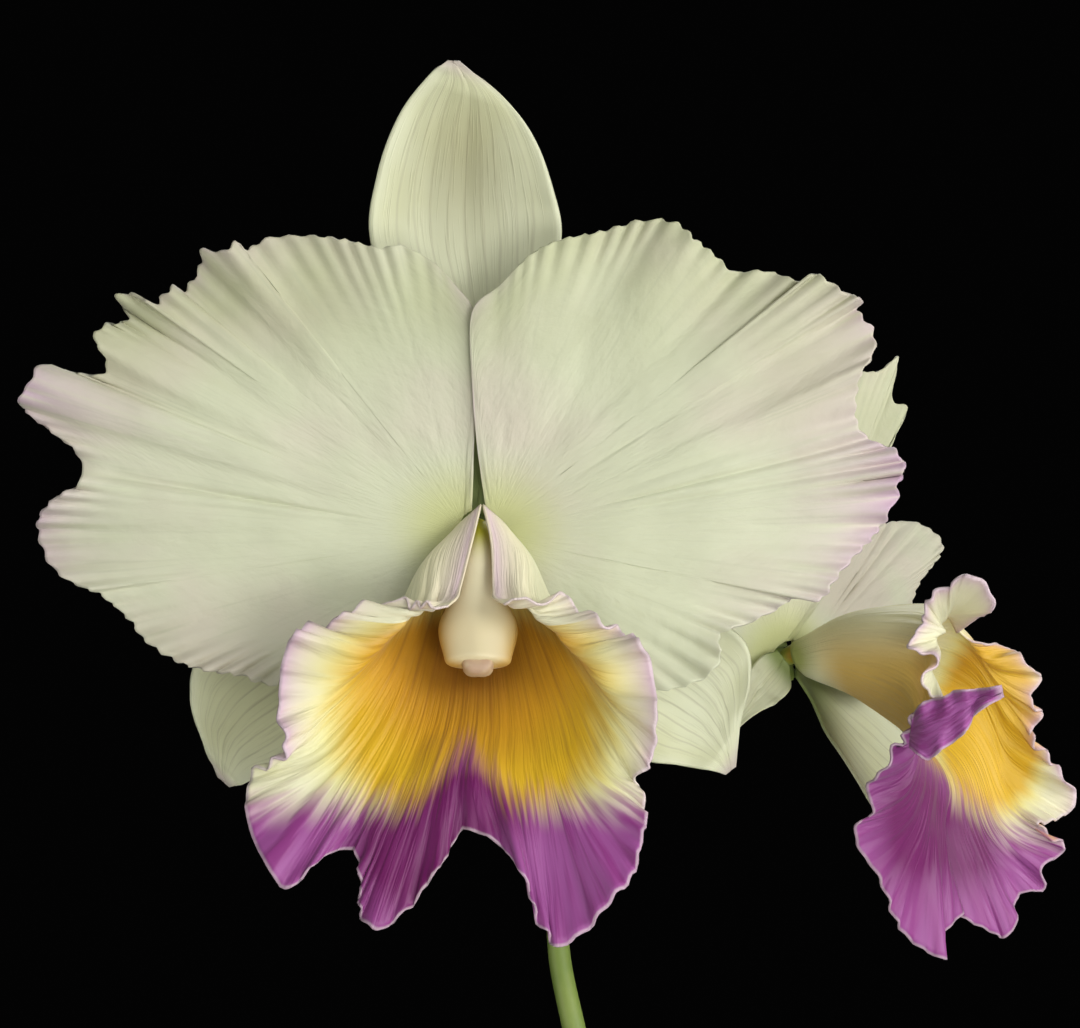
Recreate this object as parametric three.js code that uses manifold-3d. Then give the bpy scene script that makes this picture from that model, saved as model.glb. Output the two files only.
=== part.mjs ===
// A potted cattleya orchid in flower: a clay pot of bark, a creeping rhizome with its roots,
// four ribbed pseudobulbs with their leaves, and one flowering stem that carries two blooms.
// Millimetres, +Z up. The origin is the centre of the pot's underside, and the main bloom faces -Y.

import * as THREE from "three";
import { mergeVertices } from "three/addons/utils/BufferGeometryUtils.js";
import Module from "manifold-3d";

const wasm = await Module();
wasm.setup();

// Driving dimensions

const GAP = 0.3;                 // clearance between two pieces that touch
const TURN = Math.PI * 2;

const POT_HEIGHT = 112;
const POT_FOOT_RADIUS = 47;
const POT_NECK_RADIUS = 62;      // under the rim
const POT_RIM_RADIUS = 68;
const POT_RIM_HEIGHT = 22;
const POT_WALL = 5;
const POT_FLOOR = 7;
const DRAIN_RADIUS = 6;
const DRAIN_CIRCLE = 24;
const DRAIN_HOLES = 3;
const POT_SIDES = 28;

const BARK_TOP = 96;
const BARK_CHIPS = 26;
const CHIP_SIZE = [18, 12, 7];
const BARK_SEED = 12;

const RHIZOME_RADIUS = 5.5;
const RHIZOME_HEIGHT = BARK_TOP + 3;
const NECK_RADIUS = 5;
const NECK_TOP = RHIZOME_HEIGHT + 11;
const ROOT_RADIUS = 1.8;

const BULB_RIBS = 7;
const BULB_RIB_DEPTH = 0.07;     // as a share of the bulb's radius

const LEAF_THICKNESS = 2;
const SHEATH_THICKNESS = 0.9;
const STEM_RADIUS = 2.7;

const SEPAL_THICKNESS = 0.9;
const PETAL_THICKNESS = 0.8;
const LIP_THICKNESS = 0.6;

// The blooms were measured from the front, by an eye at this height and this far before the
// main bloom's petals. What stands nearer looks larger, which fromView takes back.

const EYE_HEIGHT = 400;
const EYE_DISTANCE = 480;
const PETAL_PLANE = -20;         // the main bloom's place along Y

const MAIN_CENTRE = [-12.4, -3.2, 0];        // across, up and forward, as seen
const SECOND_CENTRE = [49, -29.2, -40];
const SECOND_YAW = 56;           // degrees: the second bloom looks to the right
const SECOND_PITCH = 25;         // and a little upward
const SECOND_SCALE = 0.94;

// Colours

const CLAY = { color: 0xb4694a, roughness: 0.85, metalness: 0 };
const BARK = { color: 0x6b4630, roughness: 0.95, metalness: 0 };
const ROOT = { color: 0x9aa07c, roughness: 0.8, metalness: 0 };
const BULB = { color: 0x7f9a4c, roughness: 0.55, metalness: 0 };
const LEAF = { color: 0x4f7a33, roughness: 0.45, metalness: 0 };
const SHEATH = { color: 0xa9b070, roughness: 0.7, metalness: 0 };
const STEM = { color: 0x7d9850, roughness: 0.5, metalness: 0 };
const SEPAL = { color: 0xd2d4ae, roughness: 0.55, metalness: 0 };
const PETAL = { color: 0xd8d9c6, roughness: 0.55, metalness: 0 };
const LIP = { color: 0xb05aa0, roughness: 0.55, metalness: 0 };
const COLUMN = { color: 0xdcd3a0, roughness: 0.5, metalness: 0 };
const ANTHER = { color: 0xdcc0b0, roughness: 0.5, metalness: 0 };

// Small helpers

function seededRandom(seed) {
  let state = seed;
  return () => {
    state = (state * 1664525 + 1013904223) % 4294967296;
    return state / 4294967296;
  };
}

// A smooth line through a list of points, each an array of numbers. t runs from 0 to 1.
function along(points, t) {
  const last = points.length - 1;
  const place = Math.min(Math.max(t, 0), 1) * last;
  const i = Math.min(Math.floor(place), last - 1);
  const f = place - i;
  const b = points[i];
  const c = points[i + 1];
  const a = points[i - 1] ?? b.map((value, k) => 2 * value - c[k]);
  const d = points[i + 2] ?? c.map((value, k) => 2 * value - b[k]);
  return b.map((value, k) => {
    const slope = c[k] - a[k];
    const curve = 2 * a[k] - 5 * value + 4 * c[k] - d[k];
    const twist = 3 * value - a[k] - 3 * c[k] + d[k];
    return value + 0.5 * f * (slope + f * (curve + f * twist));
  });
}

function smoothStep(low, high, value) {
  return THREE.MathUtils.smoothstep(value, low, high);
}

// From what the eye sees, in millimetres at the petal plane about its line of sight, to a place.
function fromView(across, up, forward) {
  const nearer = 1 - forward / EYE_DISTANCE;
  return new THREE.Vector3(across * nearer, PETAL_PLANE - forward, EYE_HEIGHT + up * nearer);
}

function inMainBloom(across, up, forward) {
  const [centreAcross, centreUp, centreForward] = MAIN_CENTRE;
  return fromView(centreAcross + across, centreUp + up, centreForward + forward);
}

// The second bloom's parts each look their own way: yaw to the right and pitch upward. turn
// raises the part in its own plane.
const SECOND_ORIGIN = fromView(...SECOND_CENTRE);

function secondFrame(yawDegrees, pitchDegrees, turnDegrees = 0) {
  const [yaw, pitch, turn] = [yawDegrees, pitchDegrees, turnDegrees].map(THREE.MathUtils.degToRad);
  const side = new THREE.Vector3(Math.cos(yaw), Math.sin(yaw), 0);
  const front = new THREE.Vector3(
    Math.sin(yaw) * Math.cos(pitch),
    -Math.cos(yaw) * Math.cos(pitch),
    Math.sin(pitch),
  );
  const up = new THREE.Vector3().crossVectors(front, side);
  return (across, height, forward) => SECOND_ORIGIN.clone()
    .addScaledVector(side, (across * Math.cos(turn) - height * Math.sin(turn)) * SECOND_SCALE)
    .addScaledVector(up, (across * Math.sin(turn) + height * Math.cos(turn)) * SECOND_SCALE)
    .addScaledVector(front, forward * SECOND_SCALE);
}

const inSecondBloom = secondFrame(SECOND_YAW, SECOND_PITCH);

// The second lip is seen from its side: across and up are as seen from the eye, about the
// bloom's centre, and side is how far the point stands from the lip's middle plane.
function inSecondLip(across, up, side) {
  const seenAcross = SECOND_CENTRE[0] + across;
  const seenUp = SECOND_CENTRE[1] + up;
  const yaw = THREE.MathUtils.degToRad(SECOND_YAW);
  const sideAcross = Math.cos(yaw);
  const sideForward = -Math.sin(yaw);
  const centre = sideAcross * SECOND_ORIGIN.x + sideForward * SECOND_CENTRE[2];
  const wanted = side + centre - sideAcross * seenAcross;
  const forward = wanted / (sideForward - sideAcross * seenAcross / EYE_DISTANCE);
  return fromView(seenAcross, seenUp, forward);
}

// Solids

// A closed skin over rings of points, each ring with the same number of points.
function skin(rings) {
  const sides = rings[0].length;
  const positions = rings.flat().flatMap((p) => [p.x, p.y, p.z]);
  const faces = [];
  for (let i = 0; i < rings.length - 1; i += 1) {
    for (let j = 0; j < sides; j += 1) {
      const a = i * sides + j;
      const b = i * sides + (j + 1) % sides;
      faces.push(a, b, b + sides, a, b + sides, a + sides);
    }
  }
  for (const end of [0, rings.length - 1]) {
    const centre = positions.length / 3;
    const middle = new THREE.Vector3();
    rings[end].forEach((p) => middle.addScaledVector(p, 1 / sides));
    positions.push(middle.x, middle.y, middle.z);
    for (let j = 0; j < sides; j += 1) {
      const a = end * sides + j;
      const b = end * sides + (j + 1) % sides;
      faces.push(...(end === 0 ? [centre, b, a] : [centre, a, b]));
    }
  }
  const geometry = new THREE.BufferGeometry();
  geometry.setAttribute("position", new THREE.Float32BufferAttribute(positions, 3));
  geometry.setIndex(faces);
  return geometry;
}

// A thin sheet of even thickness about the surface pointAt(u, v). Both faces are split alike.
// A sheet that faces one way all over is given its thickness in that direction. spread is how
// many columns to each side are looked at for the way that any other sheet faces.
function sheet(rows, columns, thickness, pointAt, facing = null, spread = 1) {
  const width = columns + 1;
  const middle = [];
  for (let i = 0; i <= rows; i += 1) {
    for (let j = 0; j <= columns; j += 1) {
      middle.push(pointAt(i / rows, j / columns));
    }
  }
  const at = (i, j) => middle[Math.min(Math.max(i, 0), rows) * width + Math.min(Math.max(j, 0), columns)];
  const normalAt = (i, j) => {
    const down = at(i + 1, j).clone().sub(at(i - 1, j));
    const across = at(i, j + spread).clone().sub(at(i, j - spread));
    return down.cross(across).normalize();
  };
  const natural = normalAt(Math.floor(rows / 2), Math.floor(columns / 2));
  const steady = facing && facing.clone().multiplyScalar(Math.sign(facing.dot(natural)));
  const front = [];
  const back = [];
  for (let i = 0; i <= rows; i += 1) {
    for (let j = 0; j <= columns; j += 1) {
      const normal = steady ?? normalAt(i, j);
      front.push(at(i, j).clone().addScaledVector(normal, thickness / 2));
      back.push(at(i, j).clone().addScaledVector(normal, -thickness / 2));
    }
  }
  const positions = [...front, ...back].flatMap((p) => [p.x, p.y, p.z]);
  const backStart = front.length;
  const faces = [];
  for (let i = 0; i < rows; i += 1) {
    for (let j = 0; j < columns; j += 1) {
      const a = i * width + j;
      const b = a + width;
      faces.push(a, b, b + 1, a, b + 1, a + 1);
      faces.push(backStart + a, backStart + b + 1, backStart + b);
      faces.push(backStart + a, backStart + a + 1, backStart + b + 1);
    }
  }
  const rim = [];
  for (let j = 0; j < columns; j += 1) rim.push(j);
  for (let i = 0; i < rows; i += 1) rim.push(i * width + columns);
  for (let j = columns; j > 0; j -= 1) rim.push(rows * width + j);
  for (let i = rows; i > 0; i -= 1) rim.push(i * width);
  rim.forEach((a, k) => {
    const b = rim[(k + 1) % rim.length];
    faces.push(a, b, backStart + b, a, backStart + b, backStart + a);
  });
  const geometry = new THREE.BufferGeometry();
  geometry.setAttribute("position", new THREE.Float32BufferAttribute(positions, 3));
  geometry.setIndex(faces);
  return geometry;
}

// A round limb along a list of places, with a radius for each place.
function limb(places, radii, sides, steps) {
  const path = new THREE.CatmullRomCurve3(places.map((p) => new THREE.Vector3(...p)), false, "centripetal");
  const frames = path.computeFrenetFrames(steps);
  const rings = [];
  for (let i = 0; i <= steps; i += 1) {
    const centre = path.getPointAt(i / steps);
    const [radius] = along(radii.map((value) => [value]), i / steps);
    const ring = [];
    for (let j = 0; j < sides; j += 1) {
      const angle = TURN * j / sides;
      ring.push(centre.clone()
        .addScaledVector(frames.normals[i], radius * Math.cos(angle))
        .addScaledVector(frames.binormals[i], radius * Math.sin(angle)));
    }
    rings.push(ring);
  }
  return skin(rings);
}

// A blade along a spine of places, with a half-width and a direction across for each place.
// Its edges stand proud of the spine by cup times the half-width.
function bladeOnSpine(rows, columns, thickness, spine, halfWidths, across, cup) {
  return sheet(rows, columns, thickness, (u, v) => {
    const centre = new THREE.Vector3(...along(spine, u));
    const ahead = new THREE.Vector3(...along(spine, u + 0.02)).sub(new THREE.Vector3(...along(spine, u - 0.02)));
    const side = new THREE.Vector3(...along(across, u)).normalize();
    const face = ahead.normalize().cross(side).normalize();
    const [halfWidth] = along(halfWidths.map((value) => [value]), u);
    const t = 2 * v - 1;
    return centre.addScaledVector(side, halfWidth * t).addScaledVector(face, cup * halfWidth * t * t);
  });
}

function toSolid(geometry) {
  const bare = geometry.clone();
  bare.deleteAttribute("normal");
  bare.deleteAttribute("uv");
  const merged = mergeVertices(bare, 1e-4);
  return new wasm.Manifold(new wasm.Mesh({
    numProp: 3,
    vertProperties: new Float32Array(merged.attributes.position.array),
    triVerts: new Uint32Array(merged.index.array),
  }));
}

function toGeometry(solid) {
  const mesh = solid.getMesh();
  const geometry = new THREE.BufferGeometry();
  geometry.setAttribute("position", new THREE.BufferAttribute(mesh.vertProperties, 3));
  geometry.setIndex(new THREE.BufferAttribute(mesh.triVerts, 1));
  return geometry;
}

function joined(geometries) {
  return geometries.map(toSolid).reduce((sum, next) => sum.add(next));
}

function largestBody(solid) {
  return solid.decompose().sort((one, other) => other.volume() - one.volume())[0];
}

const orchid = new THREE.Group();
orchid.name = "potted_cattleya_orchid";

function addPiece(name, geometry, finish) {
  geometry.computeVertexNormals();
  const mesh = new THREE.Mesh(geometry, new THREE.MeshStandardMaterial({ ...finish, side: THREE.DoubleSide }));
  mesh.name = name;
  orchid.add(mesh);
}

// Pot

function potProfile() {
  const rimStart = POT_HEIGHT - POT_RIM_HEIGHT;
  return [
    [0, 0],
    [POT_FOOT_RADIUS - 1.5, 0],
    [POT_FOOT_RADIUS, 1.5],
    [POT_NECK_RADIUS, rimStart],
    [POT_RIM_RADIUS - 1, rimStart + 1],
    [POT_RIM_RADIUS, POT_HEIGHT - 1.5],
    [POT_RIM_RADIUS - 1.5, POT_HEIGHT],
    [POT_RIM_RADIUS - POT_WALL, POT_HEIGHT],
    [POT_NECK_RADIUS - POT_WALL, rimStart - 2],
    [POT_FOOT_RADIUS - POT_WALL, POT_FLOOR],
    [0, POT_FLOOR],
  ];
}

// The inner wall's radius at a height.
function potInside(height) {
  const rimStart = POT_HEIGHT - POT_RIM_HEIGHT - 2;
  const foot = POT_FOOT_RADIUS - POT_WALL;
  const neck = POT_NECK_RADIUS - POT_WALL;
  const mouth = POT_RIM_RADIUS - POT_WALL;
  if (height < rimStart) return foot + (neck - foot) * (height - POT_FLOOR) / (rimStart - POT_FLOOR);
  return neck + (mouth - neck) * (height - rimStart) / (POT_HEIGHT - rimStart);
}

function turned(profile) {
  const geometry = new THREE.LatheGeometry(profile.map(([r, z]) => new THREE.Vector2(r, z)), POT_SIDES);
  geometry.rotateX(Math.PI / 2);
  return geometry;
}

function makePot() {
  let pot = toSolid(turned(potProfile()));
  for (let i = 0; i < DRAIN_HOLES; i += 1) {
    const angle = TURN * i / DRAIN_HOLES;
    const drill = new THREE.CylinderGeometry(DRAIN_RADIUS, DRAIN_RADIUS, POT_FLOOR * 4, 16);
    drill.rotateX(Math.PI / 2);
    drill.translate(DRAIN_CIRCLE * Math.cos(angle), DRAIN_CIRCLE * Math.sin(angle), 0);
    pot = pot.subtract(toSolid(drill));
  }
  return toGeometry(pot);
}

// Rhizome, roots and bark

const BULBS = [
  { name: "1", foot: [-46, -8], lean: [-12, 4], height: 92, radius: 12 },
  { name: "2", foot: [-19, 4], lean: [-7, 12], height: 108, radius: 13.5 },
  { name: "3", foot: [10, 9], lean: [1, 2], height: 104, radius: 14 },
  { name: "4", foot: [38, -2], lean: [9, -4], height: 62, radius: 9.5 },
];

// Each root leaves the rhizome, crosses the bark and dives into it.
const ROOTS = [
  [[-36, -4], [-34, -20], [-26, -34]],
  [[-30, 0], [-36, 16], [-38, 34]],
  [[-6, 7], [-8, -8], [-2, -24]],
  [[0, 8], [-2, 24], [4, 40]],
  [[22, 6], [24, -10], [20, -28]],
  [[28, 4], [34, 18], [38, 32]],
];

function rhizomeShapes(extra) {
  const radius = RHIZOME_RADIUS + extra;
  const feet = BULBS.map(({ foot }) => foot);
  const places = [[-54, -12], ...feet, [47, -7]].map(([x, y]) => [x, y, RHIZOME_HEIGHT]);
  const radii = [radius * 0.6, radius, radius, radius, radius, radius * 0.5 + extra];
  const shapes = [limb(places, radii, 8, 15)];
  for (const [x, y] of feet) {
    const neck = new THREE.CylinderGeometry(NECK_RADIUS + extra, NECK_RADIUS + extra, NECK_TOP - RHIZOME_HEIGHT, 10);
    neck.rotateX(Math.PI / 2);
    neck.translate(x, y, (NECK_TOP + RHIZOME_HEIGHT) / 2);
    shapes.push(neck);
  }
  for (const [start, middle, end] of ROOTS) {
    const crest = BARK_TOP + ROOT_RADIUS + 3;
    const route = [
      [...start, RHIZOME_HEIGHT],
      [...middle, crest],
      [...end, BARK_TOP - 4],
      [end[0], end[1], BARK_TOP - 22 - extra],
    ];
    shapes.push(limb(route, [1, 1, 0.9, 0.7].map((share) => share * ROOT_RADIUS + extra), 5, 7));
  }
  return shapes;
}

function makeRhizome() {
  return toGeometry(joined(rhizomeShapes(0)));
}

function barkChip(random) {
  const [length, width, height] = CHIP_SIZE.map((size) => size * (0.7 + 0.6 * random()));
  const chip = new THREE.BoxGeometry(length, width, height, 1, 1, 1);
  const corners = chip.attributes.position;
  for (let i = 0; i < corners.count; i += 1) {
    const pull = 1 - 0.22 * (corners.getX(i) > 0 ? 1 : 0) * (corners.getY(i) > 0 ? 1 : 0.4);
    corners.setXYZ(i, corners.getX(i) * pull, corners.getY(i) * pull, corners.getZ(i));
  }
  chip.rotateX((random() - 0.5) * 0.9);
  chip.rotateY((random() - 0.5) * 0.9);
  chip.rotateZ(random() * TURN);
  return chip;
}

function makeBark() {
  const random = seededRandom(BARK_SEED);
  const bottom = POT_FLOOR + GAP;
  const bed = turned([
    [0, bottom],
    [potInside(bottom) - GAP - 0.1, bottom],
    [potInside(POT_HEIGHT - POT_RIM_HEIGHT - 2) - GAP, POT_HEIGHT - POT_RIM_HEIGHT - 2],
    [potInside(BARK_TOP - 3) - GAP - 0.2, BARK_TOP - 3],
    [0, BARK_TOP - 1],
  ]);
  let bark = toSolid(bed);
  const golden = TURN * 0.381966;
  for (let i = 0; i < BARK_CHIPS; i += 1) {
    const radius = 43 * Math.sqrt((i + 0.5) / BARK_CHIPS);
    const chip = barkChip(random);
    chip.translate(radius * Math.cos(i * golden), radius * Math.sin(i * golden), BARK_TOP - 2);
    bark = bark.add(toSolid(chip));
  }
  return toGeometry(largestBody(bark.subtract(joined(rhizomeShapes(GAP * 2)))));
}

// Pseudobulbs

const BULB_OUTLINE = [0.42, 0.62, 0.86, 1, 0.98, 0.84, 0.66, 0.56];      // shares of the radius
const BULB_SIDES = BULB_RIBS * 2;
const BULB_FLATNESS = 0.86;

function bulbTop({ foot, lean, height }) {
  return [foot[0] + lean[0], foot[1] + lean[1], NECK_TOP + GAP + height];
}

function makeBulb(bulb) {
  const { foot, lean, height, radius } = bulb;
  const rings = BULB_OUTLINE.map((share, i) => {
    const rise = i / (BULB_OUTLINE.length - 1);
    const ribs = Math.sin(Math.PI * Math.min(rise * 1.1, 1));
    const ring = [];
    for (let j = 0; j < BULB_SIDES; j += 1) {
      const angle = TURN * j / BULB_SIDES;
      const rib = 1 + BULB_RIB_DEPTH * ribs * (j % 2 ? -1 : 1);
      ring.push(new THREE.Vector3(
        foot[0] + lean[0] * rise * rise + radius * share * rib * Math.cos(angle),
        foot[1] + lean[1] * rise * rise + radius * share * rib * BULB_FLATNESS * Math.sin(angle),
        NECK_TOP + GAP + height * rise,
      ));
    }
    return ring;
  });
  return skin(rings);
}

// Leaves: each stands on a bulb's top, folded at its foot and arching outward.

const LEAVES = [
  { bulb: 0, seat: 2, reach: [-112, -20], rise: 58, halfWidth: 21 },
  { bulb: 1, seat: 2, reach: [-84, 92], rise: 38, halfWidth: 23 },
  { bulb: 2, seat: 5.2, reach: [66, 104], rise: 40, halfWidth: 24 },
  { bulb: 3, seat: 2, reach: [92, -44], rise: 66, halfWidth: 17 },
];
const LEAF_WIDTHS = [0.16, 0.5, 0.86, 1, 0.95, 0.7, 0.16];       // shares of the half-width
const LEAF_FOLD = 0.45;

function leafSpine({ bulb, seat, reach, rise }) {
  const [x, y, z] = bulbTop(BULBS[bulb]);
  const away = Math.hypot(...reach);
  const start = [x + seat * reach[0] / away, y + seat * reach[1] / away, z + 1.2];
  const bend = (out, up) => [start[0] + reach[0] * out, start[1] + reach[1] * out, start[2] + rise * up];
  return [start, bend(0.08, 0.3), bend(0.27, 0.68), bend(0.52, 0.93), bend(0.8, 1), bend(1, 0.9)];
}

function makeLeaf(leaf) {
  const [outX, outY] = leaf.reach;
  const across = [[-outY, outX, 0], [-outY, outX, 0]];
  const halfWidths = LEAF_WIDTHS.map((share) => share * leaf.halfWidth);
  return bladeOnSpine(10, 4, LEAF_THICKNESS, leafSpine(leaf), halfWidths, across, LEAF_FOLD);
}

// Flowering stem: it rises from the third bulb inside its sheath and forks into two pedicels.

const STEM_FOOT = bulbTop(BULBS[2]);
const FORK = fromView(19, -42, -52).toArray();
const OVARY_BACK = 13;
const OVARY_GAP = 0.8;           // from the ovary's end to the bloom's centre

function pedicelPlaces(end, back) {
  const behind = end.clone().addScaledVector(back, OVARY_BACK);
  const bend = behind.clone().addScaledVector(back, OVARY_BACK * 1.2);
  bend.z -= 7;
  return [FORK, bend.toArray(), behind.toArray(), end.toArray()];
}

const PEDICEL_RADII = [2.1, 2.1, 3.1, 3.6];

function stemPlaces() {
  const [x, y, z] = STEM_FOOT;
  return [
    [x, y - 3.4, z + GAP],
    [x - 0.5, y - 3.2, z + 34],
    [x - 2.4, y - 1.8, z + 68],
    fromView(4, -78, -42).toArray(),
    FORK,
    [FORK[0] + 1, FORK[1] + 0.5, FORK[2] + 5],
  ];
}

function makeStem() {
  const mainEnd = inMainBloom(0, 0, -OVARY_GAP);
  const secondEnd = inSecondBloom(0, 0, -OVARY_GAP);
  const backOfMain = facingOf(inMainBloom).negate();
  const backOfSecond = facingOf(inSecondBloom).negate();
  return toGeometry(joined([
    limb(stemPlaces(), [1, 1, 0.95, 0.9, 0.95, 0.5].map((share) => share * STEM_RADIUS), 8, 16),
    limb(pedicelPlaces(mainEnd, backOfMain), PEDICEL_RADII, 8, 12),
    limb(pedicelPlaces(secondEnd, backOfSecond), PEDICEL_RADII, 8, 9),
  ]));
}

// Sheath: a papery envelope round the stem's foot, open along one side.

const SHEATH_HEIGHT = 66;
const SHEATH_RADII = [[6.6], [7.6], [8], [7.2], [6.2]];
const SHEATH_OPENING = 0.9;      // radians left open

function makeSheath() {
  const [x, y, z] = STEM_FOOT;
  return sheet(5, 12, SHEATH_THICKNESS, (u, v) => {
    const [radius] = along(SHEATH_RADII, u);
    const half = (TURN - SHEATH_OPENING - 1.2 * u * u) / 2;
    const angle = -Math.PI / 2 + half * (2 * v - 1);
    const point = 9 * u * u * (1 - Math.abs(2 * v - 1));
    return new THREE.Vector3(
      x - 2.4 * u * u + radius * Math.cos(angle) * 0.72,
      y - 3.4 + 1.6 * u * u + radius * Math.sin(angle) * 0.66,
      z + GAP + SHEATH_HEIGHT * u + point,
    );
  });
}

// Petals: a fan of folds from the claw to a crimped margin. The margin's points are across
// and up from the bloom's centre, from the top of the inner edge round to the lower claw.

const LEFT_MARGIN = [
  [-1.4, 4], [-0.9, 16], [-0.6, 30], [-0.6, 43], [-4.6, 49], [-9.6, 54], [-15.6, 57], [-19.6, 56.4],
  [-26.6, 58], [-33.6, 58.8], [-41.6, 58.4], [-46.4, 56], [-48.4, 57.6], [-51.2, 55.6], [-55.2, 56],
  [-55.4, 53], [-58.6, 48], [-61.4, 48.6], [-64.6, 45.2], [-68.6, 47], [-72.2, 46.8], [-70, 43],
  [-71.2, 41.4], [-74.6, 41], [-76.8, 38.4], [-74.2, 33.6], [-75.8, 31], [-82.4, 31.8], [-86, 33],
  [-88.4, 32.2], [-90, 29], [-91.8, 26.4], [-89.6, 23], [-80.6, 16], [-79.4, 12], [-80, 9],
  [-84.6, 6.4], [-87.6, 3], [-88, 0], [-86.6, -5], [-83.6, -9], [-78.6, -11.6], [-75.6, -12.8],
  [-69.6, -18], [-66.6, -22], [-60.6, -26], [-54.6, -28], [-47.6, -29], [-40.6, -31], [-28, -28],
  [-16, -19], [-8, -10.4], [-4, -5.4],
];
const RIGHT_MARGIN = [
  [1.6, 4], [-0.2, 17], [-1.2, 30], [-1.2, 43.6], [4.4, 49], [10.4, 55], [16.4, 58], [24.4, 59.6],
  [31.4, 61.6], [36.4, 62], [40.4, 61], [43.4, 58.2], [47.4, 55], [51.4, 51.6], [57.4, 51.8],
  [64.4, 49.8], [67.6, 51.2], [74.4, 47], [77, 46.4], [76, 43.8], [79, 40], [79.2, 35.6],
  [76.8, 31.6], [75.8, 28], [75.6, 22], [78.4, 18], [83.4, 16], [85.4, 12.4], [84.2, 9.6],
  [83.6, 6], [81.4, 2], [78.4, -2], [74.6, -6], [71.4, -10], [68.4, -14], [63.4, -13.6],
  [58.4, -16.6], [53.4, -18.8], [48.4, -21], [48.4, -26], [44.4, -30], [35.4, -32], [25, -28],
  [15, -19], [8, -10.4], [4, -5.4],
];
const PETAL_LENGTH = 85;
const CLAW_SIDE = 2.9;
const CLAW_HALF_HEIGHT = 2.8;
const CLAW_BULGE = 1;
const CLAW_FORWARD = 2;

const MAIN_LEFT_PETAL = { margin: LEFT_MARGIN, hand: -1, rise: 7, swells: 2, folds: 9, phase: 0.6 };
const MAIN_RIGHT_PETAL = { margin: RIGHT_MARGIN, hand: 1, rise: 11, swells: 2, folds: 8, phase: 2.1 };

// How far forward of the bloom's centre a petal stands.
function petalForward({ rise, swells, folds, phase }, u, v, fromClaw) {
  const out = fromClaw / PETAL_LENGTH;
  const free = smoothStep(0.05, 0.2, v) * (1 - smoothStep(0.86, 0.97, v));
  const swell = 2.4 * out * out * Math.sin(TURN * swells * v + phase);
  const fold = 1.9 * u ** 4 * free * Math.min(1, out * 1.6) * Math.sin(TURN * folds * v + phase);
  return CLAW_FORWARD + rise * out * (1.5 - out) + free * swell + fold;
}

function petalPoint(petal, u, v) {
  const [marginAcross, marginUp] = along(petal.margin, v);
  const clawAcross = petal.hand * (CLAW_SIDE + CLAW_BULGE * Math.sin(Math.PI * v));
  const clawUp = CLAW_HALF_HEIGHT * (1 - 2 * v);
  const across = clawAcross + (marginAcross - clawAcross) * u;
  const up = clawUp + (marginUp - clawUp) * u;
  const fromClaw = Math.hypot(across - clawAcross, up);
  return [across, up, petalForward(petal, u, v, fromClaw)];
}

// The way that a part drawn from the front faces, once it is in its place.
function facingOf(place) {
  return place(0, 0, 1).sub(place(0, 0, 0)).normalize();
}

function makePetal(petal, place) {
  const columns = petal.margin.length - 1;
  const pointAt = (u, v) => place(...petalPoint(petal, u, v));
  return sheet(5, columns, PETAL_THICKNESS, pointAt, facingOf(place));
}

// Sepals: each is drawn by its two edges, from the foot to the tip.

const DORSAL_SEPAL = {
  left: [[-2.2, 3.2], [-5, 20], [-14, 42], [-21.4, 57.4], [-20.2, 71], [-15.8, 83], [-9.8, 91], [-6, 93.8]],
  right: [[2.2, 3.2], [7, 20], [13, 42], [16.6, 58.4], [15, 68], [11.6, 77.6], [6, 85.6], [-3.8, 93.8]],
  forward: [0.5, -1, -2.5, -3, -2.5, -1.5, 0, 1],
  cup: 3.5,
};
const LEFT_SEPAL = {
  left: [[-3.6, -1.2], [-22, -7], [-42, -15], [-55, -24], [-57.6, -33], [-55.6, -41], [-52, -49.4]],
  right: [[-1.6, -4.4], [-10, -22], [-22, -38], [-35, -46.4], [-43, -49], [-47, -50.8], [-49.6, -51.2]],
  forward: [0.5, -1, -3, -4.5, -5.5, -6, -6.5],
  cup: 3,
};
const RIGHT_SEPAL = {
  left: [[1.6, -4.4], [9, -22], [20, -38], [32, -45.4], [40, -47], [46, -48], [49.4, -48.8]],
  right: [[3.6, -1.2], [22, -7], [42, -15], [53, -22], [54.4, -30], [52.6, -38], [51.6, -47.4]],
  forward: [0.5, -1, -3, -4.5, -5.5, -6, -6.5],
  cup: 3,
};

function sepalPoint(sepal, u, v) {
  const [leftAcross, leftUp] = along(sepal.left, u);
  const [rightAcross, rightUp] = along(sepal.right, u);
  const [forward] = along(sepal.forward.map((value) => [value]), u);
  const hollow = sepal.cup * Math.sin(Math.PI * Math.min(u * 1.2, 1)) * 4 * v * (1 - v);
  return [
    leftAcross + (rightAcross - leftAcross) * v,
    leftUp + (rightUp - leftUp) * v,
    forward - hollow,
  ];
}

function makeSepal(sepal, place) {
  const rows = sepal.left.length - 1;
  return sheet(rows, 5, SEPAL_THICKNESS, (u, v) => place(...sepalPoint(sepal, u, v)), facingOf(place));
}

// Lips: rings of points run from the left inner edge, under the column, to the right one.
// The first ring is the tube's foot, and the last is the frilled margin, in a left half
// and a right half that meet at the notch of the middle lobe.

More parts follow.
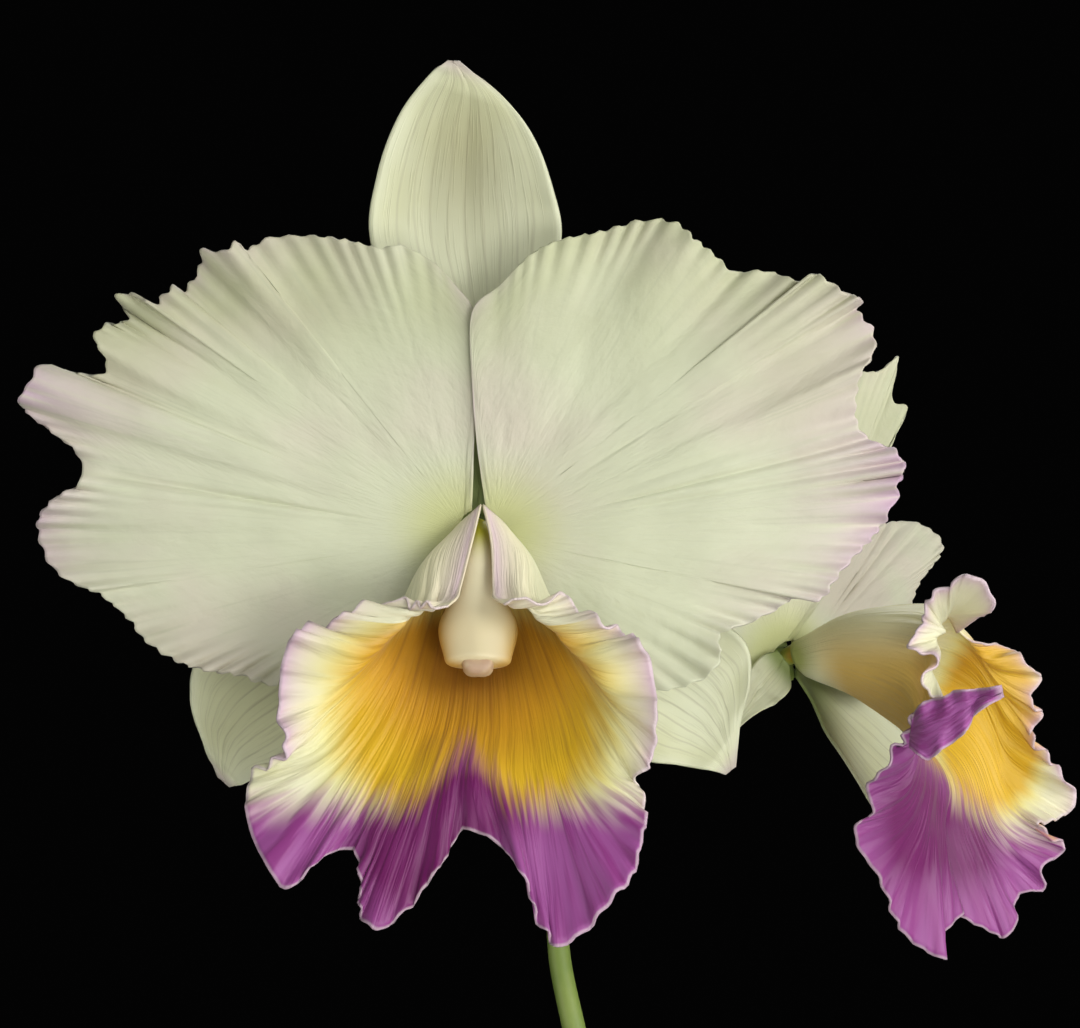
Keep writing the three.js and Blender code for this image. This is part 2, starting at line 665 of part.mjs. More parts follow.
const MAIN_LIP = {
  rings: [
    [[0.4, 5.1, 5.6], [-5.2, -0.6, 4.7], [-5.8, -5.4, 4.5], [-4.2, -8.4, 4.4], [0, -9.4, 4.4],
      [4.4, -8.2, 4.4], [6.2, -4.6, 4.5], [6, 0.2, 4.7], [1.2, 5, 5.8]],
    [[-2, -3, 13], [-10.4, -6.2, 11.5], [-12.8, -12.5, 10], [-8, -17.5, 9], [0, -19, 8.5],
      [8, -17.5, 9], [12, -12, 10], [10.6, -5.8, 11.5], [3.4, -3, 13]],
    [[-3.4, -11.4, 21.5], [-12.5, -14.8, 22.5], [-20.5, -27, 21], [-13, -37.4, 22], [-0.5, -37.4, 22],
      [13.5, -37.4, 22.5], [20.4, -27, 21.5], [12, -14.2, 23.5], [2.9, -11.2, 22]],
    [[-4, -13.6, 25.5], [-15.5, -18.5, 28], [-32, -39, 31], [-20, -53, 35], [-2.6, -49, 34],
      [16.8, -53, 35], [28, -38, 32], [15.2, -19.5, 28], [3.2, -13.2, 26]],
  ],
  left: [
    [-6, -15.4, 29.5], [-8.6, -15.4, 31], [-11.4, -14.4, 30], [-15, -14, 27], [-21.2, -15, 26],
    [-26.6, -16.4, 29], [-32, -20.6, 27], [-36, -19.6, 32], [-39.4, -27, 31], [-39.8, -37, 37],
    [-39, -42.6, 38], [-40.4, -46, 37], [-45.6, -50.4, 35], [-45.8, -59.6, 40],
    [-38.8, -71.6, 46], [-30.6, -65.2, 42], [-24.4, -64.4, 39], [-23.6, -70.6, 45], [-23, -78, 48],
    [-18.8, -80, 48], [-9.2, -69.6, 44], [-3, -59.8, 38],
  ],
  right: [
    [-3, -59.8, 38], [4, -62.8, 40], [10, -71, 45], [13.2, -80, 48], [16.4, -83.8, 49],
    [24.4, -77, 50], [30.4, -69.6, 48], [33.6, -59.2, 42], [33.4, -53.6, 37], [31.6, -50, 36],
    [33.8, -47.6, 39], [34.8, -44.4, 37.5],
    [36, -37, 37], [35.2, -30, 32], [33, -22.4, 34], [28.8, -20.4, 30], [25, -18.4, 31],
    [21, -17.6, 28], [18, -13.2, 27], [13.6, -14.2, 28], [8.8, -13.6, 30], [5.2, -14.8, 29.5],
  ],
};
const SECOND_LIP = {
  rings: [
    [[2.9, 4.1, -0.5], [1.4, 3.1, -3.6], [1.5, 0.4, -4.8], [3.1, -2.2, -3.4], [5.3, -3.5, 0],
      [6.7, -2.2, 3.4], [6.6, 0.4, 4.8], [5.2, 3.1, 3.6], [3.4, 4.1, 0.5]],
    [[13.4, 9.4, -1.5], [12, 7.6, -9], [12, 1.6, -12.5], [13.6, -5.4, -8.5], [16.2, -8.6, 0],
      [18, -6, 8.5], [18.2, 1, 12.5], [16.6, 7.4, 9], [15, 9.6, 1.5]],
    [[28, 11, -3], [25.4, 8.4, -13], [24, -1, -20], [26, -14, -14], [31, -21, 0],
      [36, -18, 14], [37, -6, 20], [34, 6, 13], [30, 10.8, 3]],
    [[32, 9.6, -7], [31, 6, -17], [28.5, -6, -21.5], [25, -28, -22], [33.4, -34, 0],
      [43, -34, 16], [45, -20, 24], [43, -4, 20], [35, 5.4, 7]],
  ],
  left: [
    [34.6, 5.4, -6], [38.6, 8.4, -12], [42, 11.2, -18], [36.8, 17, -22], [32.6, 15.2, -20],
    [29, 12, -24], [27, 7.6, -22], [25.2, 2.8, -28], [29.2, 0.8, -25], [28, -3.2, -29],
    [29.2, -6, -29], [31.4, -8.8, -28.8], [28.6, -11, -28.4], [25.5, -12.4, -28], [24.4, -16.6, -27.5],
    [20.4, -20, -32], [16.6, -26, -30], [17.2, -30.6, -29], [14.4, -33.4, -31], [14.4, -37.6, -28],
    [19.8, -44.8, -24], [22, -53, -20], [31.6, -60, -12], [32.2, -54, -6], [37.4, -50.2, 0],
  ],
  right: [
    [37.4, -50.2, 0], [42.2, -55.2, 8], [45, -54.4, 10], [47.2, -47, 16], [52.2, -46, 22],
    [51.4, -41.6, 20], [55.8, -38.4, 26], [55, -35.6, 24], [50.6, -33, 21],
    [54.6, -31.6, 26], [58, -29.2, 30], [57.4, -24.4, 28], [53.4, -21.4, 26], [52.6, -18.2, 26],
    [49, -15.4, 23], [51.6, -10.8, 26], [49.2, -7.2, 23], [51.6, -3.6, 25], [47.2, 0, 21],
    [46, 2, 22], [41, 3, 15], [37.6, 3.6, 9.5],
  ],
};

function lipMargin({ left, right }, v) {
  return v < 0.5 ? along(left, 2 * v) : along(right, 2 * v - 1);
}

function lipPoint(lip, u, v) {
  const lines = lip.rings.map((ring) => along(ring, v));
  return along([...lines, lipMargin(lip, v)], u);
}

// One column of faces for each of the margin's points.
function makeLip(lip, place) {
  const leftCount = lip.left.length - 1;
  const rightCount = lip.right.length - 1;
  const columns = leftCount + rightCount;
  const pointAt = (u, v) => {
    const index = v * columns;
    const even = index < leftCount ? 0.5 * index / leftCount : 0.5 + 0.5 * (index - leftCount) / rightCount;
    return place(...lipPoint(lip, u, even));
  };
  return sheet(7, columns, LIP_THICKNESS, pointAt, null, 2);
}

// Columns: each bends out of the bloom's centre and swells into two low wings at its tip.

const COLUMN_SPINE = [[0, 0, -0.2], [0, -0.9, 3.8], [0, -6, 9.4], [0, -13, 14.6], [0, -19.5, 19], [0, -26, 23]];
const SECOND_COLUMN_SPINE = [[0, 0, 0.1], [0, -0.6, 4], [0, -3.8, 9], [0, -7, 14], [0, -10, 19], [0, -14, 24]];
const COLUMN_WIDTHS = [2.2, 2.8, 3.7, 4.9, 7.6, 6.4];
const COLUMN_DEPTHS = [2.2, 2.7, 3.2, 3.8, 4.4, 3.4];

function makeColumn(spine, place) {
  const rows = 10;
  const sides = 12;
  const rings = [];
  for (let i = 0; i <= rows; i += 1) {
    const u = i / rows;
    const centre = place(...along(spine, u));
    const ahead = place(...along(spine, u + 0.02)).sub(place(...along(spine, u - 0.02))).normalize();
    const side = place(1, 0, 0).sub(place(0, 0, 0)).normalize();
    const top = new THREE.Vector3().crossVectors(side, ahead).negate().normalize();
    const [width] = along(COLUMN_WIDTHS.map((value) => [value]), u);
    const [depth] = along(COLUMN_DEPTHS.map((value) => [value]), u);
    const ring = [];
    for (let j = 0; j < sides; j += 1) {
      const angle = TURN * j / sides;
      const under = Math.sin(angle) < 0 ? 0.6 : 1;
      ring.push(centre.clone()
        .addScaledVector(side, width * Math.cos(angle))
        .addScaledVector(top, depth * under * Math.sin(angle)));
    }
    rings.push(ring);
  }
  return skin(rings);
}

function makeAntherCap(spine, place) {
  const tip = place(...along(spine, 1));
  const ahead = tip.clone().sub(place(...along(spine, 0.96))).normalize();
  const side = place(1, 0, 0).sub(place(0, 0, 0)).normalize();
  const top = new THREE.Vector3().crossVectors(side, ahead).negate().normalize();
  const rings = [[0, 0.82], [0.8, 1], [2.2, 0.95], [3.2, 0.62]].map(([out, share]) => {
    const ring = [];
    for (let j = 0; j < 10; j += 1) {
      const angle = TURN * j / 10;
      ring.push(tip.clone()
        .addScaledVector(ahead, GAP + out)
        .addScaledVector(side, 3 * share * Math.cos(angle))
        .addScaledVector(top, 2.2 * share * Math.sin(angle) + 0.4));
    }
    return ring;
  });
  return skin(rings);
}

// The second bloom's near petal stands up behind the main bloom, its near sepal comes forward
// below it, and its far petal is a smoother, rounded one. The near ones start a little outside
// the ovary.

const farPetalFrame = secondFrame(SECOND_YAW, SECOND_PITCH, 8);
const nearPetalFrame = secondFrame(14, 0, -38);
const nearSepalFrame = secondFrame(14, 8);
const dorsalFrame = secondFrame(48, 30);

function inFarPetal(across, up, forward) {
  return farPetalFrame(across, up, forward + 0.0022 * across * Math.max(up, 0));
}

function inNearPetal(across, up, forward) {
  return nearPetalFrame(across * 0.72 - 1.5, up, forward * 0.5 + 1.6);
}

const NEAR_MARGIN = [
  [-1.4, 4], [-1.6, 16], [-2.6, 30], [-6, 43], [-12, 51.6], [-14.6, 57.8], [-16.6, 63.6], [-21.6, 62.6],
  [-25.6, 67.6], [-28.8, 71.6], [-31, 66.2], [-35.6, 63], ...LEFT_MARGIN.slice(10),
];
const FAR_MARGIN = [
  ...RIGHT_MARGIN.slice(0, 13), [52, 48], [55, 38], [58, 29], [64, 23.4], [70, 21.8], [77, 21],
  [84, 19], [89, 15.4], [90, 11.4], [85, 8.4], [73, 5], [65.6, 1], [59, -4], [52.8, -8], [46, -13],
  [39, -16.4], [30, -18], [22, -15.5], [15, -12], [8, -8.4], [4, -5.4],
];
const NEAR_SEPAL = {
  left: [[-3.6, 1.7], [-7.4, 0.5], [-11.6, -3.2], [-15, -8.8], [-18.6, -14.7], [-23.3, -19.6], [-27.9, -22.4]],
  right: [[-0.8, -1.7], [-1.3, -6.8], [-5.2, -10.1], [-11.1, -12.7], [-17, -16], [-23.1, -20.7], [-27.7, -23.6]],
  forward: [4.8, 6, 8.5, 11.5, 14.5, 17.5, 20],
  cup: 1.5,
};
const SECOND_LEFT_PETAL = { margin: NEAR_MARGIN, hand: -1, rise: 5, swells: 2, folds: 8, phase: 3.4 };
const SECOND_RIGHT_PETAL = { margin: FAR_MARGIN, hand: 1, rise: 8, swells: 2, folds: 4, phase: 4.6 };

// Assembly

addPiece("pot", makePot(), CLAY);
addPiece("bark_medium", makeBark(), BARK);
addPiece("rhizome_and_roots", makeRhizome(), ROOT);
BULBS.forEach((bulb) => addPiece(`pseudobulb_${bulb.name}`, makeBulb(bulb), BULB));
LEAVES.forEach((leaf) => addPiece(`leaf_${BULBS[leaf.bulb].name}`, makeLeaf(leaf), LEAF));
addPiece("sheath", makeSheath(), SHEATH);
addPiece("flower_stem", makeStem(), STEM);

addPiece("main_dorsal_sepal", makeSepal(DORSAL_SEPAL, inMainBloom), SEPAL);
addPiece("main_left_sepal", makeSepal(LEFT_SEPAL, inMainBloom), SEPAL);
addPiece("main_right_sepal", makeSepal(RIGHT_SEPAL, inMainBloom), SEPAL);
addPiece("main_left_petal", makePetal(MAIN_LEFT_PETAL, inMainBloom), PETAL);
addPiece("main_right_petal", makePetal(MAIN_RIGHT_PETAL, inMainBloom), PETAL);
addPiece("main_lip", makeLip(MAIN_LIP, inMainBloom), LIP);
addPiece("main_column", makeColumn(COLUMN_SPINE, inMainBloom), COLUMN);
addPiece("main_anther_cap", makeAntherCap(COLUMN_SPINE, inMainBloom), ANTHER);

addPiece("second_dorsal_sepal", makeSepal(DORSAL_SEPAL, dorsalFrame), SEPAL);
addPiece("second_left_sepal", makeSepal(NEAR_SEPAL, nearSepalFrame), SEPAL);
addPiece("second_right_sepal", makeSepal(RIGHT_SEPAL, inSecondBloom), SEPAL);
addPiece("second_left_petal", makePetal(SECOND_LEFT_PETAL, inNearPetal), PETAL);
addPiece("second_right_petal", makePetal(SECOND_RIGHT_PETAL, inFarPetal), PETAL);
addPiece("second_lip", makeLip(SECOND_LIP, inSecondLip), LIP);
addPiece("second_column", makeColumn(SECOND_COLUMN_SPINE, inSecondBloom), COLUMN);
addPiece("second_anther_cap", makeAntherCap(SECOND_COLUMN_SPINE, inSecondBloom), ANTHER);

export default orchid;
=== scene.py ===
# A potted cattleya orchid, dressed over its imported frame: fine petals, sepals and lips with
# their veins and crimped margins, ribbed bulbs, leaves, bark and clay. Lengths in the tables
# are millimetres, and mesh_from turns them into metres.

import math

import bpy
import numpy as np
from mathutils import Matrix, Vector


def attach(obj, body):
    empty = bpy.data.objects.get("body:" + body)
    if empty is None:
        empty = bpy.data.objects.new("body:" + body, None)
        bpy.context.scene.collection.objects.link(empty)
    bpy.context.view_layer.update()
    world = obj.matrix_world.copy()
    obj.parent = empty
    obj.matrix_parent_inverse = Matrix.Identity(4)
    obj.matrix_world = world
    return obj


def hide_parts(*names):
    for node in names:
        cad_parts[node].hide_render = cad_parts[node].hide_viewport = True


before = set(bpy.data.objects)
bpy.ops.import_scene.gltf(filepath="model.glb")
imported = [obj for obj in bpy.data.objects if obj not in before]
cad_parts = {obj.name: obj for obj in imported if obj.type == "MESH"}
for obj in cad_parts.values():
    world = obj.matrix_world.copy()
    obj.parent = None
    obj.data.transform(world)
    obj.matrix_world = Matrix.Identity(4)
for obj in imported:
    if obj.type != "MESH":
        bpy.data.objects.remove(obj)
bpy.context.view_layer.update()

MM = 0.001
TURN = 2 * math.pi

# The eye that the blooms were measured from, and the places of both blooms as it sees them

EYE_HEIGHT = 400
EYE_DISTANCE = 480               # from the plane of the main bloom's petals
PETAL_PLANE = -20
PHOTO_SPAN = 216                 # what the photo's width spans at the petals' plane

MAIN_CENTRE = (-12.4, -3.2, 0)
SECOND_CENTRE = (49, -29.2, -40)
SECOND_YAW = 56
SECOND_PITCH = 25
SECOND_SCALE = 0.94

# Sheets are a little thinner than the solid ones

PETAL_THICKNESS = 0.55
SEPAL_THICKNESS = 0.7
LIP_THICKNESS = 0.45
LEAF_THICKNESS = 1.8
SHEATH_THICKNESS = 0.6


# Small helpers

def along(points, t):
    """A smooth line through a list of points. t runs from 0 to 1 and may be an array."""
    points = np.asarray(points, float)
    t = np.asarray(t, float)
    last = len(points) - 1
    place = np.clip(t, 0, 1) * last
    i = np.minimum(np.floor(place).astype(int), last - 1)
    f = (place - i)[..., None]
    padded = np.concatenate([[2 * points[0] - points[1]], points, [2 * points[-1] - points[-2]]])
    a, b, c, d = (padded[i + k] for k in range(4))
    slope = c - a
    curve = 2 * a - 5 * b + 4 * c - d
    twist = 3 * b - a - 3 * c + d
    return b + 0.5 * f * (slope + f * (curve + f * twist))


def value_along(values, t):
    return along([[value] for value in values], t)[..., 0]


def smooth_step(low, high, value):
    share = np.clip((value - low) / (high - low), 0, 1)
    return share * share * (3 - 2 * share)


def bump(centre, width, value):
    return np.exp(-((value - centre) / width) ** 2)


def wander(t, seed, count):
    """A smooth random line between -1 and 1 with count bends over t from 0 to 1."""
    knots = np.random.default_rng(seed).uniform(-1, 1, count + 1)
    return value_along(knots, t)


def clouds(x, y, seed):
    """Smooth random hills between -1 and 1, about one to each unit of x and y."""
    grid = np.random.default_rng(seed).uniform(-1, 1, (64, 64))
    x, y = np.broadcast_arrays(x, y)
    column, row = np.floor(x).astype(int), np.floor(y).astype(int)
    right, down = x - column, y - row
    right, down = right * right * (3 - 2 * right), down * down * (3 - 2 * down)
    corner = [[grid[(row + i) % 64, (column + j) % 64] for j in (0, 1)] for i in (0, 1)]
    upper = corner[0][0] * (1 - right) + corner[0][1] * right
    lower = corner[1][0] * (1 - right) + corner[1][1] * right
    return upper * (1 - down) + lower * down


def window(value, rise_from, rise_to, fall_from, fall_to):
    """1 in the middle and 0 outside, with a smooth slope on each side."""
    return smooth_step(rise_from, rise_to, value) * (1 - smooth_step(fall_from, fall_to, value))


def unit_grid(rows, columns):
    """Two grids from 0 to 1: one grows from row to row, the other from column to column."""
    return np.meshgrid(np.linspace(0, 1, rows + 1), np.linspace(0, 1, columns + 1), indexing="ij")


def run_length(points, axis=0):
    """How far each point of a line or grid lies from the first one, measured along it."""
    steps = np.linalg.norm(np.diff(points, axis=axis), axis=-1)
    return np.concatenate([0 * steps.take([0], axis), np.cumsum(steps, axis=axis)], axis=axis)


def as_arrays(*values):
    return np.broadcast_arrays(*(np.asarray(value, float) for value in values))


def unit(vectors):
    return vectors / np.maximum(np.linalg.norm(vectors, axis=-1, keepdims=True), 1e-9)


# Places: what the eye sees, turned into places in the frame

def from_view(across, up, forward):
    across, up, forward = as_arrays(across, up, forward)
    nearer = 1 - forward / EYE_DISTANCE
    return np.stack([across * nearer, PETAL_PLANE - forward, EYE_HEIGHT + up * nearer], axis=-1)


def in_main_bloom(across, up, forward):
    return from_view(MAIN_CENTRE[0] + across, MAIN_CENTRE[1] + up, MAIN_CENTRE[2] + forward)


def second_frame(yaw_degrees, pitch_degrees, turn_degrees=0):
    """Places for a part of the second bloom, which faces to the right and up."""
    yaw, pitch, turn = (math.radians(x) for x in (yaw_degrees, pitch_degrees, turn_degrees))
    side = np.array([math.cos(yaw), math.sin(yaw), 0])
    front = np.array([math.sin(yaw) * math.cos(pitch), -math.cos(yaw) * math.cos(pitch), math.sin(pitch)])
    up = np.cross(front, side)
    origin = from_view(*SECOND_CENTRE)

    def place(across, height, forward):
        across, height, forward = as_arrays(across, height, forward)
        along_side = across * math.cos(turn) - height * math.sin(turn)
        along_up = across * math.sin(turn) + height * math.cos(turn)
        offset = along_side[..., None] * side + along_up[..., None] * up + forward[..., None] * front
        return origin + SECOND_SCALE * offset

    return place


in_second_bloom = second_frame(SECOND_YAW, SECOND_PITCH)
far_petal_frame = second_frame(SECOND_YAW, SECOND_PITCH, 8)
near_petal_frame = second_frame(14, 0, -38)
in_near_sepal = second_frame(14, 8)
in_dorsal = second_frame(48, 30)


def in_far_petal(across, up, forward):
    """The far petal curls forward toward its upper end."""
    return far_petal_frame(across, up, forward + 0.0022 * across * np.maximum(up, 0))


def in_near_petal(across, up, forward):
    """The near petal is narrower and flatter than the others, behind the main bloom."""
    return near_petal_frame(across * 0.72 - 1.5, up, forward * 0.5 + 1.6)


def in_second_lip(across, up, side):
    """The second lip is drawn as the eye sees it, side being the way toward its far edge."""
    seen_across = SECOND_CENTRE[0] + across
    seen_up = SECOND_CENTRE[1] + up
    yaw = math.radians(SECOND_YAW)
    side_across, side_forward = math.cos(yaw), -math.sin(yaw)
    centre = side_across * from_view(*SECOND_CENTRE)[0] + side_forward * SECOND_CENTRE[2]
    wanted = side + centre - side_across * seen_across
    forward = wanted / (side_forward - side_across * seen_across / EYE_DISTANCE)
    return from_view(seen_across, seen_up, forward)


# Meshes

def mesh_from(name, material, slot, points, faces, marks=(), smooth=True):
    """One piece of the plant. marks are its numbers for each point, which its material reads."""
    mesh = bpy.data.meshes.new(name)
    mesh.from_pydata((np.asarray(points) * MM).tolist(), [], faces)
    for mark, values in dict(marks).items():
        layer = mesh.attributes.new(mark, "FLOAT", "POINT")
        layer.data.foreach_set("value", np.asarray(values, np.float32).ravel())
    mesh.validate()
    mesh.materials.append(material)
    mesh.polygons.foreach_set("use_smooth", [smooth] * len(mesh.polygons))
    piece = bpy.data.objects.new(name, mesh)
    bpy.context.scene.collection.objects.link(piece)
    # A piece takes the place of the solid that it is named after
    nodes = [name.removesuffix("_fine")] if name.endswith("_fine") else []
    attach(piece, "root")
    if nodes:
        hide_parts(*nodes)
    return piece


def grid_normals(middle):
    down = np.gradient(middle, axis=0)
    across = np.gradient(middle, axis=1)
    return unit(np.cross(down, across))


def sheet_faces(rows, columns):
    """Faces of a closed sheet: its front grid, its back grid, then the rim between them."""
    width = columns + 1
    back = width * (rows + 1)
    faces = []
    for i in range(rows):
        for j in range(columns):
            a = i * width + j
            b = a + width
            faces.append((a, b, b + 1, a + 1))
            faces.append((back + a, back + a + 1, back + b + 1, back + b))
    rim = list(range(columns))
    rim += [i * width + columns for i in range(rows)]
    rim += [rows * width + j for j in range(columns, 0, -1)]
    rim += [i * width for i in range(rows, 0, -1)]
    for k, a in enumerate(rim):
        b = rim[(k + 1) % len(rim)]
        faces.append((a, b, back + b, back + a))
    return faces


def closed_sheet(middle, thickness, marks):
    """A thin solid round a grid of points. Its mark front is 1 on its front face, 0 on its back."""
    rows, columns = middle.shape[0] - 1, middle.shape[1] - 1
    offset = grid_normals(middle) * thickness / 2
    points = np.concatenate([(middle + offset).reshape(-1, 3), (middle - offset).reshape(-1, 3)])
    both = {name: np.tile(np.broadcast_to(values, middle.shape[:2]).ravel(), 2)
            for name, values in marks.items()}
    both["front"] = np.repeat([1.0, 0.0], len(points) // 2)
    return points, sheet_faces(rows, columns), both


def tube_faces(rows, sides):
    faces = []
    for i in range(rows):
        for j in range(sides):
            a = i * sides + j
            b = i * sides + (j + 1) % sides
            faces.append((a, b, b + sides, a + sides))
    faces.append(tuple(range(sides - 1, -1, -1)))
    faces.append(tuple(rows * sides + j for j in range(sides)))
    return faces


def ring_frames(centres):
    """Two directions across a line of centres, carried along it without a twist."""
    ahead = unit(np.gradient(centres, axis=0))
    helper = np.array([0.0, 1.0, 0.0]) if abs(ahead[0][1]) < 0.8 else np.array([1.0, 0.0, 0.0])
    first = []
    for direction in ahead:
        helper = unit(helper - direction * np.dot(helper, direction))
        first.append(helper)
    first = np.array(first)
    return first, np.cross(ahead, first)


def limb(places, radii, sides, steps, ribs=0.0):
    """A round branch along a line of places."""
    t = np.linspace(0, 1, steps + 1)
    centres = along(places, t)
    radius = value_along(radii, t)
    one, two = ring_frames(centres)
    angle = np.linspace(0, TURN, sides, endpoint=False)
    swell = 1 + ribs * np.cos(6 * angle)
    ring = one[:, None] * np.cos(angle)[None, :, None] + two[:, None] * np.sin(angle)[None, :, None]
    points = centres[:, None] + ring * (radius[:, None] * swell[None, :])[..., None]
    return points.reshape(-1, 3), tube_faces(steps, sides)


def merged(parts):
    points, faces, start = [], [], 0
    for part_points, part_faces in parts:
        points.append(part_points)
        faces += [tuple(start + k for k in face) for face in part_faces]
        start += len(part_points)
    return np.concatenate(points), faces


# Materials

def linear(colour):
    """A colour as seen on a screen, 0 to 255, for a shader."""
    shares = [c / 255 for c in colour]
    return tuple(s / 12.92 if s <= 0.04045 else ((s + 0.055) / 1.055) ** 2.4 for s in shares) + (1.0,)


class Number:
    """A number that a material works out, and the sums that can be done with it."""

    def __init__(self, recipe, socket):
        self.recipe, self.socket = recipe, socket

    def __mul__(self, other):
        return self.recipe.math("MULTIPLY", self, other)

    def __add__(self, other):
        return self.recipe.math("ADD", self, other)

    def __sub__(self, other):
        return self.recipe.math("SUBTRACT", self, other)

    def __rsub__(self, other):
        return self.recipe.math("SUBTRACT", other, self)


class Recipe:
    """A material under construction: its colour so far, and short names for the nodes in use."""

    def __init__(self, name, colour, roughness, sheen=0.0):
        self.material = bpy.data.materials.new(name)
        self.material.use_nodes = True
        self.tree = self.material.node_tree
        self.shader = self.tree.nodes["Principled BSDF"]
        self.shader.inputs["Roughness"].default_value = roughness
        self.shader.inputs["Sheen Weight"].default_value = sheen
        self.colour = colour

    def put(self, socket, value):
        """value is a number, a colour as seen on a screen, or what another node gives."""
        if isinstance(value, Number):
            value = value.socket
        if isinstance(value, bpy.types.NodeSocket):
            self.tree.links.new(value, socket)
        elif isinstance(value, tuple):
            socket.default_value = linear(value)
        else:
            socket.default_value = value

    def node(self, kind, values, **settings):
        """values says what goes into which socket."""
        made = self.tree.nodes.new(kind)
        for key, value in settings.items():
            setattr(made, key, value)
        for key, value in values.items():
            self.put(made.inputs[key], value)
        return made

    def mark(self, name):
        return Number(self, self.node("ShaderNodeAttribute", {}, attribute_name=name).outputs["Fac"])

    def math(self, operation, a, b):
        return Number(self, self.node("ShaderNodeMath", {0: a, 1: b}, operation=operation).outputs[0])

    def ramp(self, value, low, high, start=0.0, end=1.0):
        values = dict(enumerate((value, low, high, start, end)))
        made = self.node("ShaderNodeMapRange", values, interpolation_type="SMOOTHSTEP")
        return Number(self, made.outputs[0])

    def noise(self, scale, detail=3.0, roughness=0.5, place=None):
        place = place or self.node("ShaderNodeTexCoord", {}).outputs["Object"]
        values = {"Vector": place, "Scale": scale, "Detail": detail, "Roughness": roughness}
        return Number(self, self.node("ShaderNodeTexNoise", values).outputs["Fac"])

    def grain(self, fan_scale, grow_scale, detail):
        """Noise that is drawn out along a part, from its foot to its margin."""
        place = self.node("ShaderNodeCombineXYZ", {
            0: self.mark("fan") * fan_scale,
            1: self.mark("grow") * grow_scale,
        })
        return self.noise(1.0, detail, place=place.outputs[0])

    def veins(self, fan_scale, grow_scale, low, high):
        """Fine lines that run from a part's foot to its margin."""
        return self.ramp(self.grain(fan_scale, grow_scale, 2.0), low, high)

    def mix(self, share, one, other):
        return self.node("ShaderNodeMix", {0: share, 6: one, 7: other}, data_type="RGBA").outputs[2]

    def paint(self, share, colour):
        """Lays a colour over what is there. share is how much of it shows, from 0 to 1."""
        self.colour = self.mix(share, self.colour, colour)

    def bump(self, height, strength, distance):
        made = self.node("ShaderNodeBump", {"Height": height, "Strength": strength, "Distance": distance})
        self.put(self.shader.inputs["Normal"], made.outputs["Normal"])

    def finished(self, through=0.0):
        """through is the share of light that passes a thin petal."""
        self.put(self.shader.inputs["Base Color"], self.colour)
        if through:
            glow = self.node("ShaderNodeBsdfTranslucent", {"Color": self.colour})
            both = self.node("ShaderNodeMixShader", {
                0: through, 1: self.shader.outputs[0], 2: glow.outputs[0],
            })
            self.put(self.tree.nodes["Material Output"].inputs["Surface"], both.outputs[0])
        return self.material


PETAL_CREAM = (212, 215, 184)
PETAL_WARM = (214, 206, 186)
PETAL_BASE = (204, 207, 138)
PETAL_VEIN = (182, 186, 154)
# The greenish tone of the petals' upper part, darkened as painted shade
PETAL_GREEN_SHADE = (188, 192, 150)
PETAL_BLUSH = (205, 170, 198)
SEPAL_CREAM = (214, 215, 172)
SEPAL_EDGE = (222, 224, 192)
SEPAL_VEIN = (140, 130, 100)
SEPAL_DUSK = (158, 154, 112)
SEPAL_BLUSH = (190, 168, 172)
SEPAL_FOOT = (132, 146, 82)
# Dark gold of the throat's veins, also used as painted shade under the column
GOLD_DEEP_AND_SHADE = (136, 84, 8)
GOLD = (204, 148, 16)
GOLD_LIGHT = (214, 172, 22)
LEMON = (226, 216, 110)
LIP_CREAM = (226, 224, 186)
HOOD_CREAM = (246, 242, 198)
HOOD_BLUSH = (214, 182, 204)
HOOD_RIM = (236, 226, 190)
LIP_BLUSH = (206, 166, 196)
LIP_RIM = (210, 192, 196)
PURPLE_DEEP = (104, 0, 84)
PURPLE = (128, 10, 108)
LILAC = (172, 92, 164)
TUBE_GREEN = (150, 158, 64)
TUBE_GOLD = (244, 196, 70)


def petal_material():
    recipe = Recipe("petal", PETAL_CREAM, roughness=0.62, sheen=0.1)
    recipe.paint(recipe.ramp(recipe.noise(26.0), 0.38, 0.66), PETAL_WARM)
    # Toward the upper part of each blade it turns greener and darker: partly its own greenish tone, partly
    # painted shade where the blade tilts back from the light
    patchy = recipe.ramp(recipe.noise(40.0, 4.0), 0.3, 0.7, 0.35, 0.9)
    recipe.paint(recipe.mark("upper") * patchy, PETAL_GREEN_SHADE)
    recipe.paint(recipe.ramp(recipe.mark("from_foot"), 17.0, 3.0) * 0.85, PETAL_BASE)
    toward_margin = recipe.ramp(recipe.mark("grow"), 0.3, 0.95, 0.08, 0.35)
    recipe.paint(recipe.veins(150.0, 3.0, 0.5, 0.75) * toward_margin, PETAL_VEIN)
    recipe.paint(recipe.mark("blush") * recipe.veins(90.0, 3.0, 0.2, 0.6), PETAL_BLUSH)
    recipe.bump(recipe.grain(80.0, 22.0, 4.0), 0.4, 0.0006)
    return recipe.finished(through=0.2)


